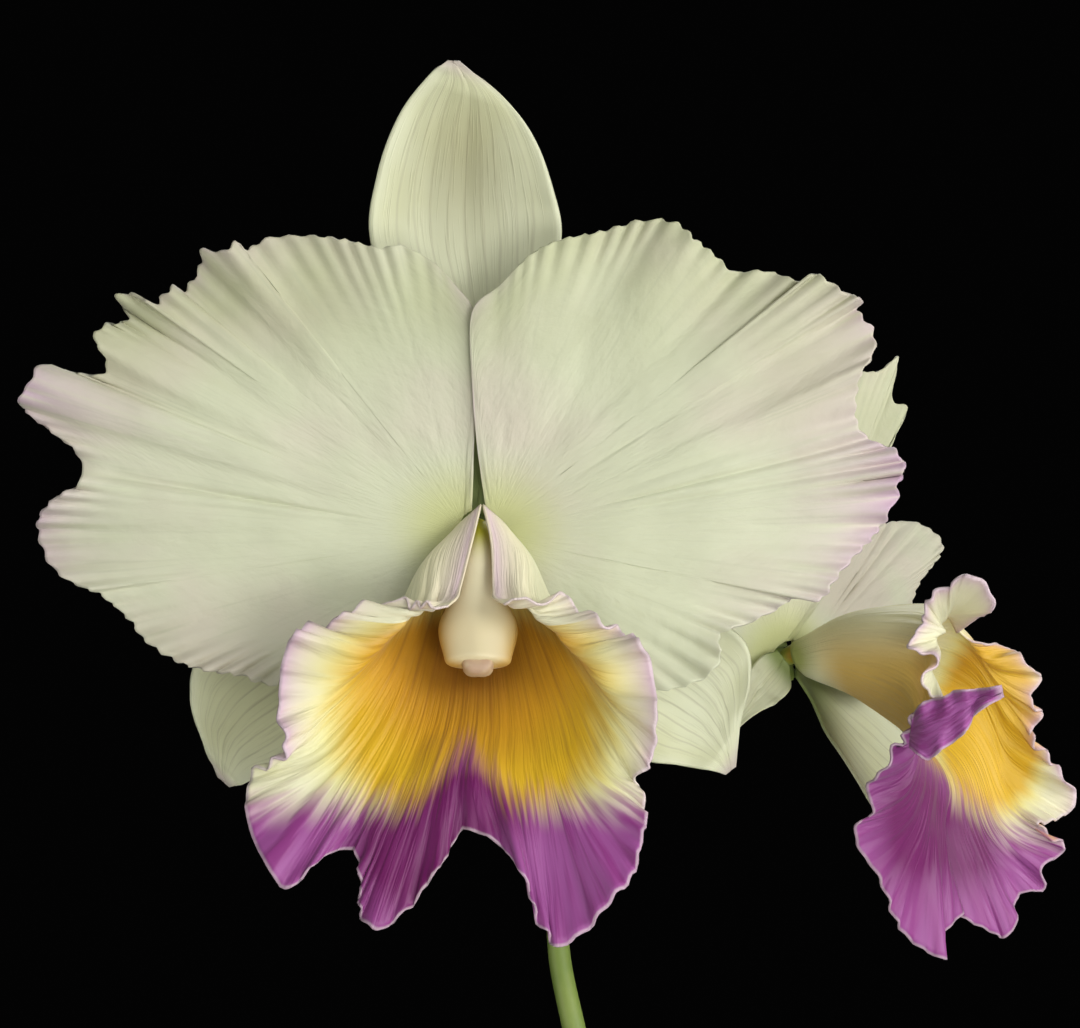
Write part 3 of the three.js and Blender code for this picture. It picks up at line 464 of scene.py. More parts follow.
def sepal_material():
    recipe = Recipe("sepal", SEPAL_CREAM, roughness=0.55, sheen=0.1)
    grow, edge = recipe.mark("grow"), recipe.mark("edge")
    recipe.paint(recipe.ramp(recipe.noise(35.0), 0.35, 0.7), SEPAL_EDGE)
    recipe.paint(recipe.mark("dusk"), SEPAL_DUSK)
    # A few broad veins, wavy and broken here and there, then fine ones between them
    inside_edge = recipe.ramp(edge, 0.8, 5.0)
    across_veins = recipe.mark("fan") * 11.0 + recipe.grain(5.0, 4.0, 2.0)
    line = recipe.ramp(recipe.math("PINGPONG", across_veins, 0.5), 0.13, 0.02)
    line = line * recipe.ramp(recipe.noise(60.0), 0.3, 0.6, 0.35, 1.0)
    recipe.paint(line * (inside_edge * 0.24), SEPAL_VEIN)
    fine = recipe.veins(70.0, 5.0, 0.52, 0.72)
    recipe.paint(fine * (inside_edge * 0.16), SEPAL_VEIN)
    recipe.paint(recipe.ramp(edge, 3.0, 0.3, 0.0, 0.7), SEPAL_EDGE)
    recipe.paint(recipe.ramp(grow, 0.86, 1.0) * 0.6, SEPAL_BLUSH)
    recipe.paint(recipe.ramp(grow, 0.26, 0.05), SEPAL_FOOT)
    recipe.bump(fine, 0.25, 0.0004)
    return recipe.finished(through=0.18)


def lip_material():
    """The lip reads where its gold, purple and blush lie from the marks of its points."""
    recipe = Recipe("lip", LIP_CREAM, roughness=0.5, sheen=0.12)
    deep, dark = recipe.mark("deep"), recipe.mark("dark")
    fine = recipe.veins(150.0, 4.0, 0.4, 0.64)
    broad = recipe.veins(56.0, 1.6, 0.42, 0.66)
    # The outer face: a bright tube, golden below and green at its foot
    outside = 1.0 - recipe.mark("front")
    tube = recipe.mark("hood") * outside
    recipe.paint(tube, HOOD_CREAM)
    recipe.paint(recipe.mark("warm") * outside, TUBE_GOLD)
    recipe.paint(recipe.mark("green") * outside, TUBE_GREEN)
    # The throat is gold with a lemon halo that fades to cream. Toward the column's end its gold darkens,
    # partly its own darker gold and partly painted shade under the column
    reach = recipe.mark("gold") + (broad - 0.5) * 0.06 - outside * 2.0
    recipe.paint(recipe.ramp(reach, -0.42, 0.02, 0.0, 0.75), LEMON)
    gold = recipe.mix(recipe.ramp(deep, 0.1, 0.7), GOLD_LIGHT, GOLD)
    gold = recipe.mix(recipe.ramp(deep, 0.55, 1.1, 0.0, 0.85), gold, GOLD_DEEP_AND_SHADE)
    streaks = recipe.veins(90.0, 1.8, 0.45, 0.75) * recipe.ramp(deep, 0.1, 0.9, 0.05, 0.55)
    gold = recipe.mix(streaks, gold, GOLD_DEEP_AND_SHADE)
    recipe.paint(recipe.ramp(reach, -0.2, 0.16), gold)
    # Lavender blush toward the frilled margin and along the hood's inner edges
    patchy = recipe.ramp(recipe.noise(60.0), 0.2, 0.7, 0.55, 1.0)
    recipe.paint(recipe.mark("blush") * patchy, LIP_BLUSH)
    recipe.paint(recipe.mark("hood_blush"), HOOD_BLUSH)
    recipe.paint(recipe.mark("hood_rim"), HOOD_RIM)
    # The purple middle lobe, with veins that run up into the cream
    start = recipe.mark("purple") + (fine - 0.5) * 3.0 - tube * 30.0
    purple = recipe.mix(dark, LILAC, PURPLE_DEEP)
    purple = recipe.mix(fine * recipe.ramp(dark, 0.9, 0.1, 0.15, 0.6), purple, PURPLE)
    recipe.paint(recipe.ramp(start, -5.0, 6.0), purple)
    recipe.paint(recipe.ramp(recipe.mark("edge"), 0.8, 0.15, 0.0, 0.6), LIP_RIM)
    recipe.bump(fine + broad, 0.35, 0.0005)
    return recipe.finished(through=0.13)


def column_material():
    recipe = Recipe("column", (172, 168, 24), roughness=0.42)
    grow = recipe.mark("grow")
    recipe.paint(recipe.ramp(grow, 0.26, 0.5), (250, 240, 200))
    recipe.paint(recipe.ramp(grow, 0.6, 0.95), (214, 200, 158))
    recipe.paint(recipe.mark("side") * 0.9, (190, 146, 44))
    recipe.paint(recipe.ramp(recipe.noise(90.0, 2.0), 0.4, 0.7) * 0.15, (226, 216, 182))
    recipe.paint(recipe.ramp(grow, 0.16, 0.05), TUBE_GREEN)
    return recipe.finished(through=0.05)


def anther_material():
    recipe = Recipe("anther_cap", (188, 166, 130), roughness=0.45)
    recipe.paint(recipe.ramp(recipe.noise(400.0, 2.0), 0.35, 0.7), (176, 146, 118))
    return recipe.finished()


def green_material(name, light, dark, fan_scale, roughness, relief):
    recipe = Recipe(name, light, roughness)
    recipe.paint(recipe.ramp(recipe.noise(45.0, 4.0), 0.3, 0.7), dark)
    fine = recipe.veins(fan_scale, 3.0, 0.45, 0.7)
    recipe.paint(fine * 0.4, dark)
    recipe.bump(fine, 0.3, relief)
    return recipe.finished()


def stem_material():
    recipe = Recipe("stem", (144, 160, 82), roughness=0.5)
    recipe.paint(recipe.ramp(recipe.noise(60.0), 0.3, 0.7), (112, 134, 60))
    return recipe.finished()


def bark_material():
    recipe = Recipe("bark", (74, 46, 30), roughness=0.95)
    layers = recipe.noise(160.0, 5.0, 0.65)
    recipe.paint(recipe.ramp(layers, 0.3, 0.7), (138, 96, 66))
    recipe.paint(recipe.ramp(recipe.noise(500.0, 2.0), 0.6, 0.75), (52, 34, 24))
    recipe.bump(layers, 0.6, 0.002)
    return recipe.finished()


def root_material():
    recipe = Recipe("root", (176, 178, 150), roughness=0.85)
    patch = recipe.noise(70.0, 4.0)
    recipe.paint(recipe.ramp(patch, 0.35, 0.65), (112, 128, 78))
    recipe.bump(patch, 0.3, 0.001)
    return recipe.finished()


def moss_material():
    recipe = Recipe("moss", (60, 84, 30), roughness=1.0)
    recipe.paint(recipe.ramp(recipe.noise(600.0), 0.35, 0.7), (122, 142, 60))
    return recipe.finished()


def clay_material():
    recipe = Recipe("clay", (186, 108, 76), roughness=0.88)
    recipe.paint(recipe.ramp(recipe.noise(14.0, 5.0, 0.6), 0.35, 0.7), (164, 92, 64))
    bloom = recipe.noise(30.0, 5.0, 0.7)
    recipe.paint(recipe.ramp(bloom, 0.58, 0.75, 0.0, 0.45), (214, 186, 164))
    recipe.bump(recipe.noise(700.0, 2.0), 0.25, 0.0004)
    return recipe.finished()


def pale_material():
    return Recipe("pale_floor", (225, 225, 225), roughness=0.9).finished()


# Petals

LEFT_MARGIN = [
    [-1.4, 4], [-0.9, 16], [-0.6, 30], [-0.6, 43], [-4.6, 49], [-9.6, 54], [-15.6, 57], [-19.6, 56.4],
    [-26.6, 58], [-33.6, 58.8], [-41.6, 58.4], [-46.4, 56], [-48.4, 57.6], [-51.2, 55.6], [-55.2, 56],
    [-55.4, 53], [-58.6, 48], [-61.4, 48.6], [-64.6, 45.2], [-68.6, 47], [-72.2, 46.8], [-70, 43],
    [-71.2, 41.4], [-74.6, 41], [-76.8, 38.4], [-74.2, 33.6], [-75.8, 31], [-82.4, 31.8], [-86, 33],
    [-88.4, 32.2], [-90, 29], [-91.8, 26.4], [-89.6, 23], [-80.6, 16], [-79.4, 12], [-80, 9],
    [-84.6, 6.4], [-87.6, 3], [-88, 0], [-86.6, -5], [-83.6, -9], [-78.6, -11.6], [-75.6, -12.8],
    [-69.6, -18], [-66.6, -22], [-60.6, -26], [-54.6, -28], [-47.6, -29], [-40.6, -31], [-28, -28],
    [-16, -19], [-8, -10.4], [-4, -5.4],
]
RIGHT_MARGIN = [
    [1.6, 4], [-0.2, 17], [-1.2, 30], [-1.2, 43.6], [4.4, 49], [10.4, 55], [16.4, 58], [24.4, 59.6],
    [31.4, 61.6], [36.4, 62], [40.4, 61], [43.4, 58.2], [47.4, 55], [51.4, 51.6], [57.4, 51.8],
    [64.4, 49.8], [67.6, 51.2], [74.4, 47], [77, 46.4], [76, 43.8], [79, 40], [79.2, 35.6],
    [76.8, 31.6], [75.8, 28], [75.6, 22], [78.4, 18], [83.4, 16], [85.4, 12.4], [84.2, 9.6],
    [83.6, 6], [81.4, 2], [78.4, -2], [74.6, -6], [71.4, -10], [68.4, -14], [63.4, -13.6],
    [58.4, -16.6], [53.4, -18.8], [48.4, -21], [48.4, -26], [44.4, -30], [35.4, -32], [25, -28],
    [15, -19], [8, -10.4], [4, -5.4],
]
NEAR_MARGIN = [
    [-1.4, 4], [-1.6, 16], [-2.6, 30], [-6, 43], [-12, 51.6], [-14.6, 57.8], [-16.6, 63.6], [-21.6, 62.6],
    [-25.6, 67.6], [-28.8, 71.6], [-31, 66.2], [-35.6, 63], *LEFT_MARGIN[10:],
]
FAR_MARGIN = [
    *RIGHT_MARGIN[:13], [52, 48], [55, 38], [58, 29], [64, 23.4], [70, 21.8], [77, 21],
    [84, 19], [89, 15.4], [90, 11.4], [85, 8.4], [73, 5], [65.6, 1], [59, -4], [52.8, -8], [46, -13],
    [39, -16.4], [30, -18], [22, -15.5], [15, -12], [8, -8.4], [4, -5.4],
]
PETAL_LENGTH = 85
CLAW_SIDE = 2.9
CLAW_HALF_HEIGHT = 2.8
CLAW_BULGE = 1
CLAW_FORWARD = 2
SWELL_HEIGHT = 2.4
FOLD_HEIGHT = 1.9
PETAL_ROWS = 56
PETAL_STEPS = 8                  # columns between two points of the margin
CRIMP_SPACING = 4.6              # along the margin, from one crimp to the next
CRIMP_HEIGHT = 1.35
FRILL_SPACING = 3.4
FRILL_REACH = 0.35               # how far the frill moves the margin itself in and out
RIB_HEIGHT = 0.17
DENT_HEIGHT = 0.4
FINE_DENT_HEIGHT = 0.12


def petal_forward(spec, u, v, from_claw):
    """The broad shape of a blade: it rises from its claw, swells and has radial folds."""
    out = from_claw / PETAL_LENGTH
    free = window(v, 0.05, 0.2, 0.86, 0.97)
    swell = SWELL_HEIGHT * out * out * np.sin(TURN * spec["swells"] * v + spec["phase"])
    fold = FOLD_HEIGHT * u ** 4 * free * np.minimum(1, out * 1.6)
    fold = fold * np.sin(TURN * spec["folds"] * v + spec["phase"])
    return CLAW_FORWARD + spec["rise"] * out * (1.5 - out) + free * swell + fold


def petal_crimps(spec, v, edge, length):
    """Crimps and frill of the margin, which differ in size and depth from place to place."""
    seed = spec["seed"]
    loose = window(v, 0.07, 0.16, 0.9, 0.985) * spec["crimp"]
    for centre, width, amount in spec["crimped"]:
        loose = loose * (1 + amount * bump(centre, width, v))
    size = 0.6 + 0.4 * wander(v, seed, 14)
    depth = 6.5 + 3 * wander(v, seed + 4, 18)
    ripple = np.sin(length * TURN / CRIMP_SPACING + 3.5 * wander(v, seed + 1, 24))
    crimp = CRIMP_HEIGHT * loose * size * np.exp(-(edge / depth) ** 1.3) * ripple
    frill = np.sin(length * TURN / FRILL_SPACING + 3 * wander(v, seed + 2, 30))
    return crimp, FRILL_REACH * loose * np.exp(-edge / 4) * frill


def petal_relief(spec, u, v, reach):
    """Ribs, the soft dents of a thin, slightly crumpled blade, and a few grooves."""
    seed = spec["seed"]
    relief = RIB_HEIGHT * wander(v, seed + 3, 80) * smooth_step(0.6, 0.95, u)
    dents = DENT_HEIGHT * clouds(v * 13, reach * u / 11, seed + 5)
    dents = dents + FINE_DENT_HEIGHT * clouds(v * 46, reach * u / 6, seed + 6)
    relief = relief + dents * smooth_step(0.1, 0.4, u) * (1 - 0.5 * smooth_step(0.9, 1, u))
    for centre, width, depth in spec["grooves"]:
        relief = relief - depth * bump(centre, width, v) * window(u, 0.2, 0.55, 0.9, 1)
    return relief


def petal(name, spec, place, material):
    columns = (len(spec["margin"]) - 1) * PETAL_STEPS
    u, v = unit_grid(PETAL_ROWS, columns)
    u = 1 - (1 - u) ** 1.25
    margin = along(spec["margin"], v)
    claw_across = spec["hand"] * (CLAW_SIDE + CLAW_BULGE * np.sin(math.pi * v))
    claw_up = CLAW_HALF_HEIGHT * (1 - 2 * v)
    reach = np.linalg.norm(margin - np.stack([claw_across, claw_up], axis=-1), axis=-1)
    edge = reach * (1 - u)
    crimp, frill = petal_crimps(spec, v, edge, run_length(margin[0])[None, :])
    share = u * (1 + frill / np.maximum(reach, 1))
    across = claw_across + (margin[..., 0] - claw_across) * share
    up = claw_up + (margin[..., 1] - claw_up) * share
    from_claw = np.hypot(across - claw_across, up)
    forward = petal_forward(spec, u, v, from_claw) + crimp + petal_relief(spec, u, v, reach)
    blush = 0
    for centre, width, depth, amount in spec["blush"]:
        blush = blush + amount * bump(centre, width, v) * np.exp(-edge / depth)
    marks = {
        "fan": v, "grow": u, "edge": edge, "from_foot": from_claw, "blush": np.clip(blush, 0, 1),
        # upper says where the greenish tone and painted shade of the upper blade lie
        "upper": smooth_step(14, 48, up) * smooth_step(0.3, 0.9, u),
    }
    mesh_from(name, material, "petal", *closed_sheet(place(across, up, forward), PETAL_THICKNESS, marks))


# What differs from petal to petal. Along the margin, grooves have a place, width and depth,
# crimped has a place, width and amount, and blush a place, width, depth and amount.

LEFT_PETAL = {
    "margin": LEFT_MARGIN, "hand": -1, "rise": 7, "swells": 2, "folds": 9, "phase": 0.6, "seed": 5,
    "grooves": [(0.655, 0.008, 0.8), (0.685, 0.012, 0.35), (0.62, 0.012, 0.3), (0.5, 0.02, 0.25)],
    "crimp": 0.9, "crimped": [(0.34, 0.07, 0.9), (0.9, 0.06, 0.5)],
    "blush": [(0.585, 0.04, 14, 0.75), (0.72, 0.05, 7, 0.6), (0.3, 0.1, 2.5, 0.3), (0.05, 0.04, 2.5, 0.4)],
}
RIGHT_PETAL = {
    "margin": RIGHT_MARGIN, "hand": 1, "rise": 11, "swells": 2, "folds": 8, "phase": 2.1, "seed": 21,
    "grooves": [(0.556, 0.007, 0.7), (0.59, 0.007, 0.5), (0.525, 0.008, 0.45), (0.46, 0.014, 0.25)],
    "crimp": 0.8, "crimped": [(0.66, 0.07, 0.8), (0.42, 0.05, 0.5), (0.2, 0.06, 0.4)],
    "blush": [(0.62, 0.08, 10, 0.9), (0.42, 0.05, 5, 0.5), (0.75, 0.08, 4, 0.4), (0.05, 0.04, 2.5, 0.4)],
}
SECOND_NEAR_PETAL = {
    **LEFT_PETAL, "margin": NEAR_MARGIN, "rise": 5, "folds": 8, "phase": 3.4, "seed": 41,
    "crimp": 0.5, "blush": [(0.4, 0.2, 3, 0.2)],
}
SECOND_FAR_PETAL = {
    **RIGHT_PETAL, "margin": FAR_MARGIN, "rise": 8, "folds": 4, "phase": 4.6, "seed": 61,
    "crimp": 0.25, "blush": [(0.4, 0.2, 3, 0.1)],
}


# Sepals: both edges from the foot to the tip, and how far forward the middle line stands

LATERAL_FORWARD = [0.5, -1, -3, -4.5, -5.5, -6, -6.5]
DORSAL_SEPAL = {
    "left": [[-2.2, 3.2], [-5, 20], [-14, 42], [-21.4, 57.4], [-20.2, 71], [-15.8, 83], [-9.8, 91],
             [-6, 93.8]],
    "right": [[2.2, 3.2], [7, 20], [13, 42], [16.6, 58.4], [15, 68], [11.6, 77.6], [6, 85.6], [-3.8, 93.8]],
    "forward": [0.5, -1, -2.5, -3, -2.5, -1.5, 0, 1],
    "cup": 3.5,
    "dusk": 0.75,
}
LEFT_SEPAL = {
    "left": [[-3.6, -1.2], [-22, -7], [-42, -15], [-55, -24], [-57.6, -33], [-55.6, -41], [-52, -49.4]],
    "right": [[-1.6, -4.4], [-10, -22], [-22, -38], [-35, -46.4], [-43, -49], [-47, -50.8], [-49.6, -51.2]],
    "forward": LATERAL_FORWARD,
    "cup": 3,
}
RIGHT_SEPAL = {
    "left": [[1.6, -4.4], [9, -22], [20, -38], [32, -45.4], [40, -47], [46, -48], [49.4, -48.8]],
    "right": [[3.6, -1.2], [22, -7], [42, -15], [53, -22], [54.4, -30], [52.6, -38], [51.6, -47.4]],
    "forward": LATERAL_FORWARD,
    "cup": 3,
}
NEAR_SEPAL = {
    "left": [[-3.6, 1.7], [-7.4, 0.5], [-11.6, -3.2], [-15, -8.8], [-18.6, -14.7], [-23.3, -19.6],
             [-27.9, -22.4]],
    "right": [[-0.8, -1.7], [-1.3, -6.8], [-5.2, -10.1], [-11.1, -12.7], [-17, -16], [-23.1, -20.7],
              [-27.7, -23.6]],
    "forward": [4.8, 6, 8.5, 11.5, 14.5, 17.5, 20],
    "cup": 1.5,
}
SEPAL_ROWS = 72
SEPAL_COLUMNS = 36
SEPAL_WAVE = 0.5                 # height of the margin's slow waves
SEPAL_RIDGE = 0.3                # height of the middle vein
SEPAL_LINES = 0.12
SEPAL_DENTS = 0.2


def sepal(name, spec, place, material):
    u, v = unit_grid(SEPAL_ROWS, SEPAL_COLUMNS)
    seed = spec["seed"]
    left, right = along(spec["left"], u), along(spec["right"], u)
    seen = left + (right - left) * v[..., None]
    edge = np.minimum(v, 1 - v) * np.linalg.norm(right - left, axis=-1)
    hollow = spec["cup"] * np.sin(math.pi * np.minimum(u * 1.2, 1)) * 4 * v * (1 - v)
    wave = SEPAL_WAVE * np.exp(-edge / 3) * wander(u, seed, 16) * np.where(v < 0.5, 1, -1)
    ridge = SEPAL_RIDGE * bump(0.5, 0.05, v) * np.sin(math.pi * u)
    lines = SEPAL_LINES * wander(v, seed + 20, 22) + SEPAL_DENTS * clouds(v * 6, u * 9, seed)
    lines = lines * np.sin(math.pi * u)
    forward = value_along(spec["forward"], u) - hollow + wave - ridge + lines
    dusk = spec.get("dusk", 0) * bump(0.62, 0.2, u) * bump(0.5, 0.3, v)
    marks = {"fan": v, "grow": u, "edge": edge, "dusk": dusk}
    middle = place(seen[..., 0], seen[..., 1], forward)
    mesh_from(name, material, "sepal", *closed_sheet(middle, SEPAL_THICKNESS, marks))


# Lips: rings of points from the foot outward, then the left and right halves of the margin.
# The second lip has its own axes, see in_second_lip.

MAIN_LIP = {
    "rings": [
      [[0.65, 5.1, 5.6], [-5.2, -0.6, 4.7], [-5.8, -5.4, 4.5], [-4.2, -8.4, 4.4], [0, -9.4, 4.4],
        [4.4, -8.2, 4.4], [6.2, -4.6, 4.5], [6, 0.2, 4.7], [0.95, 5.1, 5.6]],
      [[-1.1, -2.4, 12.6], [-10.4, -6.2, 11.5], [-12.8, -12.5, 10], [-8, -17.5, 9], [0, -19, 8.5],
        [8, -17.5, 9], [12, -12, 10], [10.6, -5.8, 11.5], [2.5, -2.4, 12.6]],
      [[-3.4, -11.4, 21.5], [-12.5, -14.8, 22.5], [-20.5, -27, 21], [-13, -37.4, 22], [-0.5, -37.4, 22],
        [13.5, -37.4, 22.5], [20.4, -27, 21.5], [12, -14.2, 23.5], [2.9, -11.2, 22]],
      [[-4, -13.6, 25.5], [-15.5, -18.5, 28], [-32, -39, 31], [-20, -53, 35], [-2.6, -49, 34],
        [16.8, -53, 35], [28, -38, 32], [15.2, -19.5, 28], [3.2, -13.2, 26]],
    ],
    "left": [
      [-6, -15.4, 29.5], [-8.6, -15.4, 31], [-11.4, -14.4, 30], [-15, -14, 27], [-21.2, -15, 26],
      [-26.6, -16.4, 29], [-32, -20.6, 27], [-36, -19.6, 32], [-39.4, -27, 31], [-39.8, -37, 37],
      [-39, -42.6, 38], [-40.4, -46, 37], [-45.6, -50.4, 35], [-45.8, -59.6, 40],
      [-38.8, -71.6, 46], [-30.6, -65.2, 42], [-24.4, -64.4, 39], [-23.6, -70.6, 45], [-23, -78, 48],
      [-18.8, -80, 48], [-9.2, -69.6, 44], [-3, -59.8, 38],
    ],
    "right": [
      [-3, -59.8, 38], [4, -62.8, 40], [10, -71, 45], [13.2, -80, 48], [16.4, -83.8, 49],
      [24.4, -77, 50], [30.4, -69.6, 48], [33.6, -59.2, 42], [33.4, -53.6, 37], [31.6, -50, 36],
      [33.8, -47.6, 39], [34.8, -44.4, 37.5],
      [36, -37, 37], [35.2, -30, 32], [33, -22.4, 34], [28.8, -20.4, 30], [25, -18.4, 31],
      [21, -17.6, 28], [18, -13.2, 27], [13.6, -14.2, 28], [8.8, -13.6, 30], [5.2, -14.8, 29.5],
    ],
}
SECOND_LIP = {
    "rings": [
      [[2.9, 4.1, -0.5], [1.4, 3.1, -3.6], [1.5, 0.4, -4.8], [3.1, -2.2, -3.4], [5.3, -3.5, 0],
        [6.7, -2.2, 3.4], [6.6, 0.4, 4.8], [5.2, 3.1, 3.6], [3.4, 4.1, 0.5]],
      [[13.4, 9.4, -1.5], [12, 7.6, -9], [12, 1.6, -12.5], [13.6, -5.4, -8.5], [16.2, -8.6, 0],
        [18, -6, 8.5], [18.2, 1, 12.5], [16.6, 7.4, 9], [15, 9.6, 1.5]],
      [[28, 11, -3], [25.4, 8.4, -13], [24, -1, -20], [26, -14, -14], [31, -21, 0],
        [36, -18, 14], [37, -6, 20], [34, 6, 13], [30, 10.8, 3]],
      [[32, 9.6, -7], [31, 6, -17], [28.5, -6, -21.5], [25, -28, -22], [33.4, -34, 0],
        [43, -34, 16], [45, -20, 24], [43, -4, 20], [35, 5.4, 7]],
    ],
    "left": [
      [34.6, 5.4, -6], [38.6, 8.4, -12], [42, 11.2, -18], [36.8, 17, -22], [32.6, 15.2, -20],
      [29, 12, -24], [27, 7.6, -22], [25.2, 2.8, -28], [29.2, 0.8, -25], [28, -3.2, -29],
      [29.2, -6, -29], [31.4, -8.8, -28.8], [28.6, -11, -28.4], [25.5, -12.4, -28], [24.4, -16.6, -27.5],
      [20.4, -20, -32], [16.6, -26, -30], [17.2, -30.6, -29], [14.4, -33.4, -31], [14.4, -37.6, -28],
      [19.8, -44.8, -24], [22, -53, -20], [31.6, -60, -12], [32.2, -54, -6], [37.4, -50.2, 0],
    ],
    "right": [
      [37.4, -50.2, 0], [42.2, -55.2, 8], [45, -54.4, 10], [47.2, -47, 16], [52.2, -46, 22],
      [51.4, -41.6, 20], [55.8, -38.4, 26], [55, -35.6, 24], [50.6, -33, 21],
      [54.6, -31.6, 26], [58, -29.2, 30], [57.4, -24.4, 28], [53.4, -21.4, 26], [52.6, -18.2, 26],
      [49, -15.4, 23], [51.6, -10.8, 26], [49.2, -7.2, 23], [51.6, -3.6, 25], [47.2, 0, 21],
      [46, 2, 22], [41, 3, 15], [37.6, 3.6, 9.5],
    ],
}
LIP_ROWS = 64
LIP_STEPS = 9                    # columns between two points of the margin
WAVE_SPACING = 14                # along the margin, from one slow wave to the next
WAVE_HEIGHT = 0.8
LIP_RIBS = 0.16
LIP_DENTS = 0.25
OUTSIDE = -14                    # what the mark purple says well away from the purple


def lip_grid(spec):
    """Where each point of the grid stands: from the foot (u) and round from the left edge (v)."""
    left_count, right_count = len(spec["left"]) - 1, len(spec["right"]) - 1
    count = left_count + right_count
    index = np.linspace(0, count, count * LIP_STEPS + 1)
    on_right = 0.5 + 0.5 * (index - left_count) / right_count
    v = np.where(index < left_count, 0.5 * index / left_count, on_right)
    margin = np.where((v < 0.5)[:, None], along(spec["left"], 2 * v), along(spec["right"], 2 * v - 1))
    rings = np.array([along(ring, v) for ring in spec["rings"]] + [margin])
    u = np.linspace(0, 1, LIP_ROWS + 1)
    grid = along(rings.reshape(len(rings), -1), u).reshape(len(u), len(v), 3)
    return u[:, None] + 0 * v[None, :], v[None, :] + 0 * u[:, None], grid


def lip_relief(spec, u, v, from_foot, edge, length):
    """Crimps and slow waves of the margin, ribs, dents and the keel of a folded middle lobe."""
    seed = spec["seed"]
    free = window(v, 0, 0.07, 0.93, 1)
    size = 0.75 + 0.4 * wander(v, seed + 1, 18)
    ripple = np.sin(length * TURN / CRIMP_SPACING + 3.5 * wander(v, seed, 30))
    frill = free * size * np.exp(-(edge / 4.5) ** 1.3) * ripple
    wave = np.sin(length * TURN / WAVE_SPACING + 2 * wander(v, seed + 2, 16))
    slow = free * WAVE_HEIGHT * np.exp(-(edge / 12) ** 1.5) * wave
    ribs = LIP_RIBS * wander(v, seed + 3, 90) * smooth_step(0.25, 0.6, u)
    dents = LIP_DENTS * clouds(v * 30, from_foot / 5, seed + 5) * smooth_step(0.4, 0.7, u)
    keel = -spec["keel"] * np.exp(-np.abs(v - 0.5) / 0.012) * smooth_step(0.6, 0.8, u)
    return frill + slow + ribs + dents + keel


def lip(name, spec, place, material):
    u, v, seen = lip_grid(spec)
    middle = place(*np.moveaxis(seen, -1, 0))
    from_foot, round_length = run_length(middle), run_length(middle, axis=1)
    edge = from_foot[-1:] - from_foot
    from_side = np.minimum(round_length, round_length[:, -1:] - round_length)
    relief = lip_relief(spec, u, v, from_foot, edge, run_length(middle[-1])[None, :])[..., None]
    marks = {"fan": v, "grow": u, "edge": edge, **spec["colours"](u, v, seen, edge, from_side)}
    parts = [closed_sheet(middle + grid_normals(middle) * relief, LIP_THICKNESS, marks)]
    if "fold" in spec:
        parts.append(lip_fold(spec["fold"], place, marks))
    points, faces = merged([part[:2] for part in parts])
    joined = {mark: np.concatenate([part[2][mark] for part in parts]) for mark in parts[0][2]}
    mesh_from(name, material, "lip", points, faces, joined)


def lip_fold(fold, place, marks):
    """A turned-over purple corner of the margin, which hangs in front of the lip behind it."""
    u, v = unit_grid(40, 48)
    left, right = along(fold["left"], u), along(fold["right"], u)
    across, up, side = np.moveaxis(left + (right - left) * v[..., None], -1, 0)
    width = np.linalg.norm((right - left)[..., :2], axis=-1)
    edge = np.minimum(np.minimum(v, 1 - v) * width, (1 - u) * 0.9 * np.max(width))
    bulge = fold["bulge"] * 4 * v * (1 - v) * np.sin(math.pi * np.minimum(u * 1.1, 1))
    ripple = np.sin(u * fold["ripples"] * TURN + np.where(v < 0.5, 0, 2))
    ripple = fold["ripple"] * np.exp(-edge / 2) * ripple
    ripple = ripple + 0.3 * clouds(v * 4, u * 4, fold["ripples"]) * smooth_step(0, 0.3, u)
    dark = 0.25 * smooth_step(1, 4, edge) * (1 - smooth_step(0.3, 0.9, u))
    own = {mark: 0 for mark in marks}
    own.update(fan=v * 0.1 + 0.4, grow=u, edge=edge, gold=-1, purple=20, dark=dark)
    return closed_sheet(place(across, up, side + bulge + ripple), LIP_THICKNESS, own)


# Where the colours of each lip lie. One mark darkens the gold toward the column's end, partly the throat's
# own darker gold and partly painted shade under the column, and dark darkens the purple. gold and purple
# grow from below 0 outside their patch to above 0 inside it. lip calls both functions with the same places,
# of which each uses what it needs.

def main_lip_colours(u, v, seen, edge, from_side):
    across, up = seen[..., 0], seen[..., 1]
    lobe = window(v, 0.255, 0.275, 0.72, 0.745)
    flap = np.maximum(1 - smooth_step(0.1, 0.15, v), smooth_step(0.86, 0.91, v))
    throat = (np.abs((across + 1.6) / 26.5) ** 2.4 + np.abs((up + 37) / 21) ** 2.4) ** (1 / 2.4)
    line = -43.5 - 10.5 * (1 - np.exp(-((across + 2.5) / 6.5) ** 2)) - up
    blush = (1 - lobe) * np.exp(-edge / 3.0) * (1 - 0.6 * flap)
    inner = np.exp(-from_side / 3.2) * flap * (1 - smooth_step(0.72, 0.95, u))
    dark = 0.25 + 1.1 * np.exp(-((across + 13) / 13) ** 2 - ((up + 64) / 15) ** 2)
    dark = dark + 0.8 * np.exp(-((across - 2) / 11) ** 2 - ((up + 54) / 8) ** 2)
    return {
        "gold": np.where(flap > 0.5, -1, 1 - throat),
        # The gold darkens toward the column's end: partly darker gold, partly painted shade under the column
        "deep": 1.3 - np.hypot(across + 1, up + 25) / 24,
        "purple": line * lobe + OUTSIDE * (1 - lobe),
        "dark": np.clip(dark, 0, 1),
        "blush": np.clip(blush, 0, 0.85),
        "hood_blush": np.clip(inner, 0, 0.75),
        "hood_rim": flap * np.exp(-(from_side / 0.5) ** 2) * 0.8,
        "hood": np.clip(flap, 0, 1),
        "green": 0,
        "warm": 0,
    }


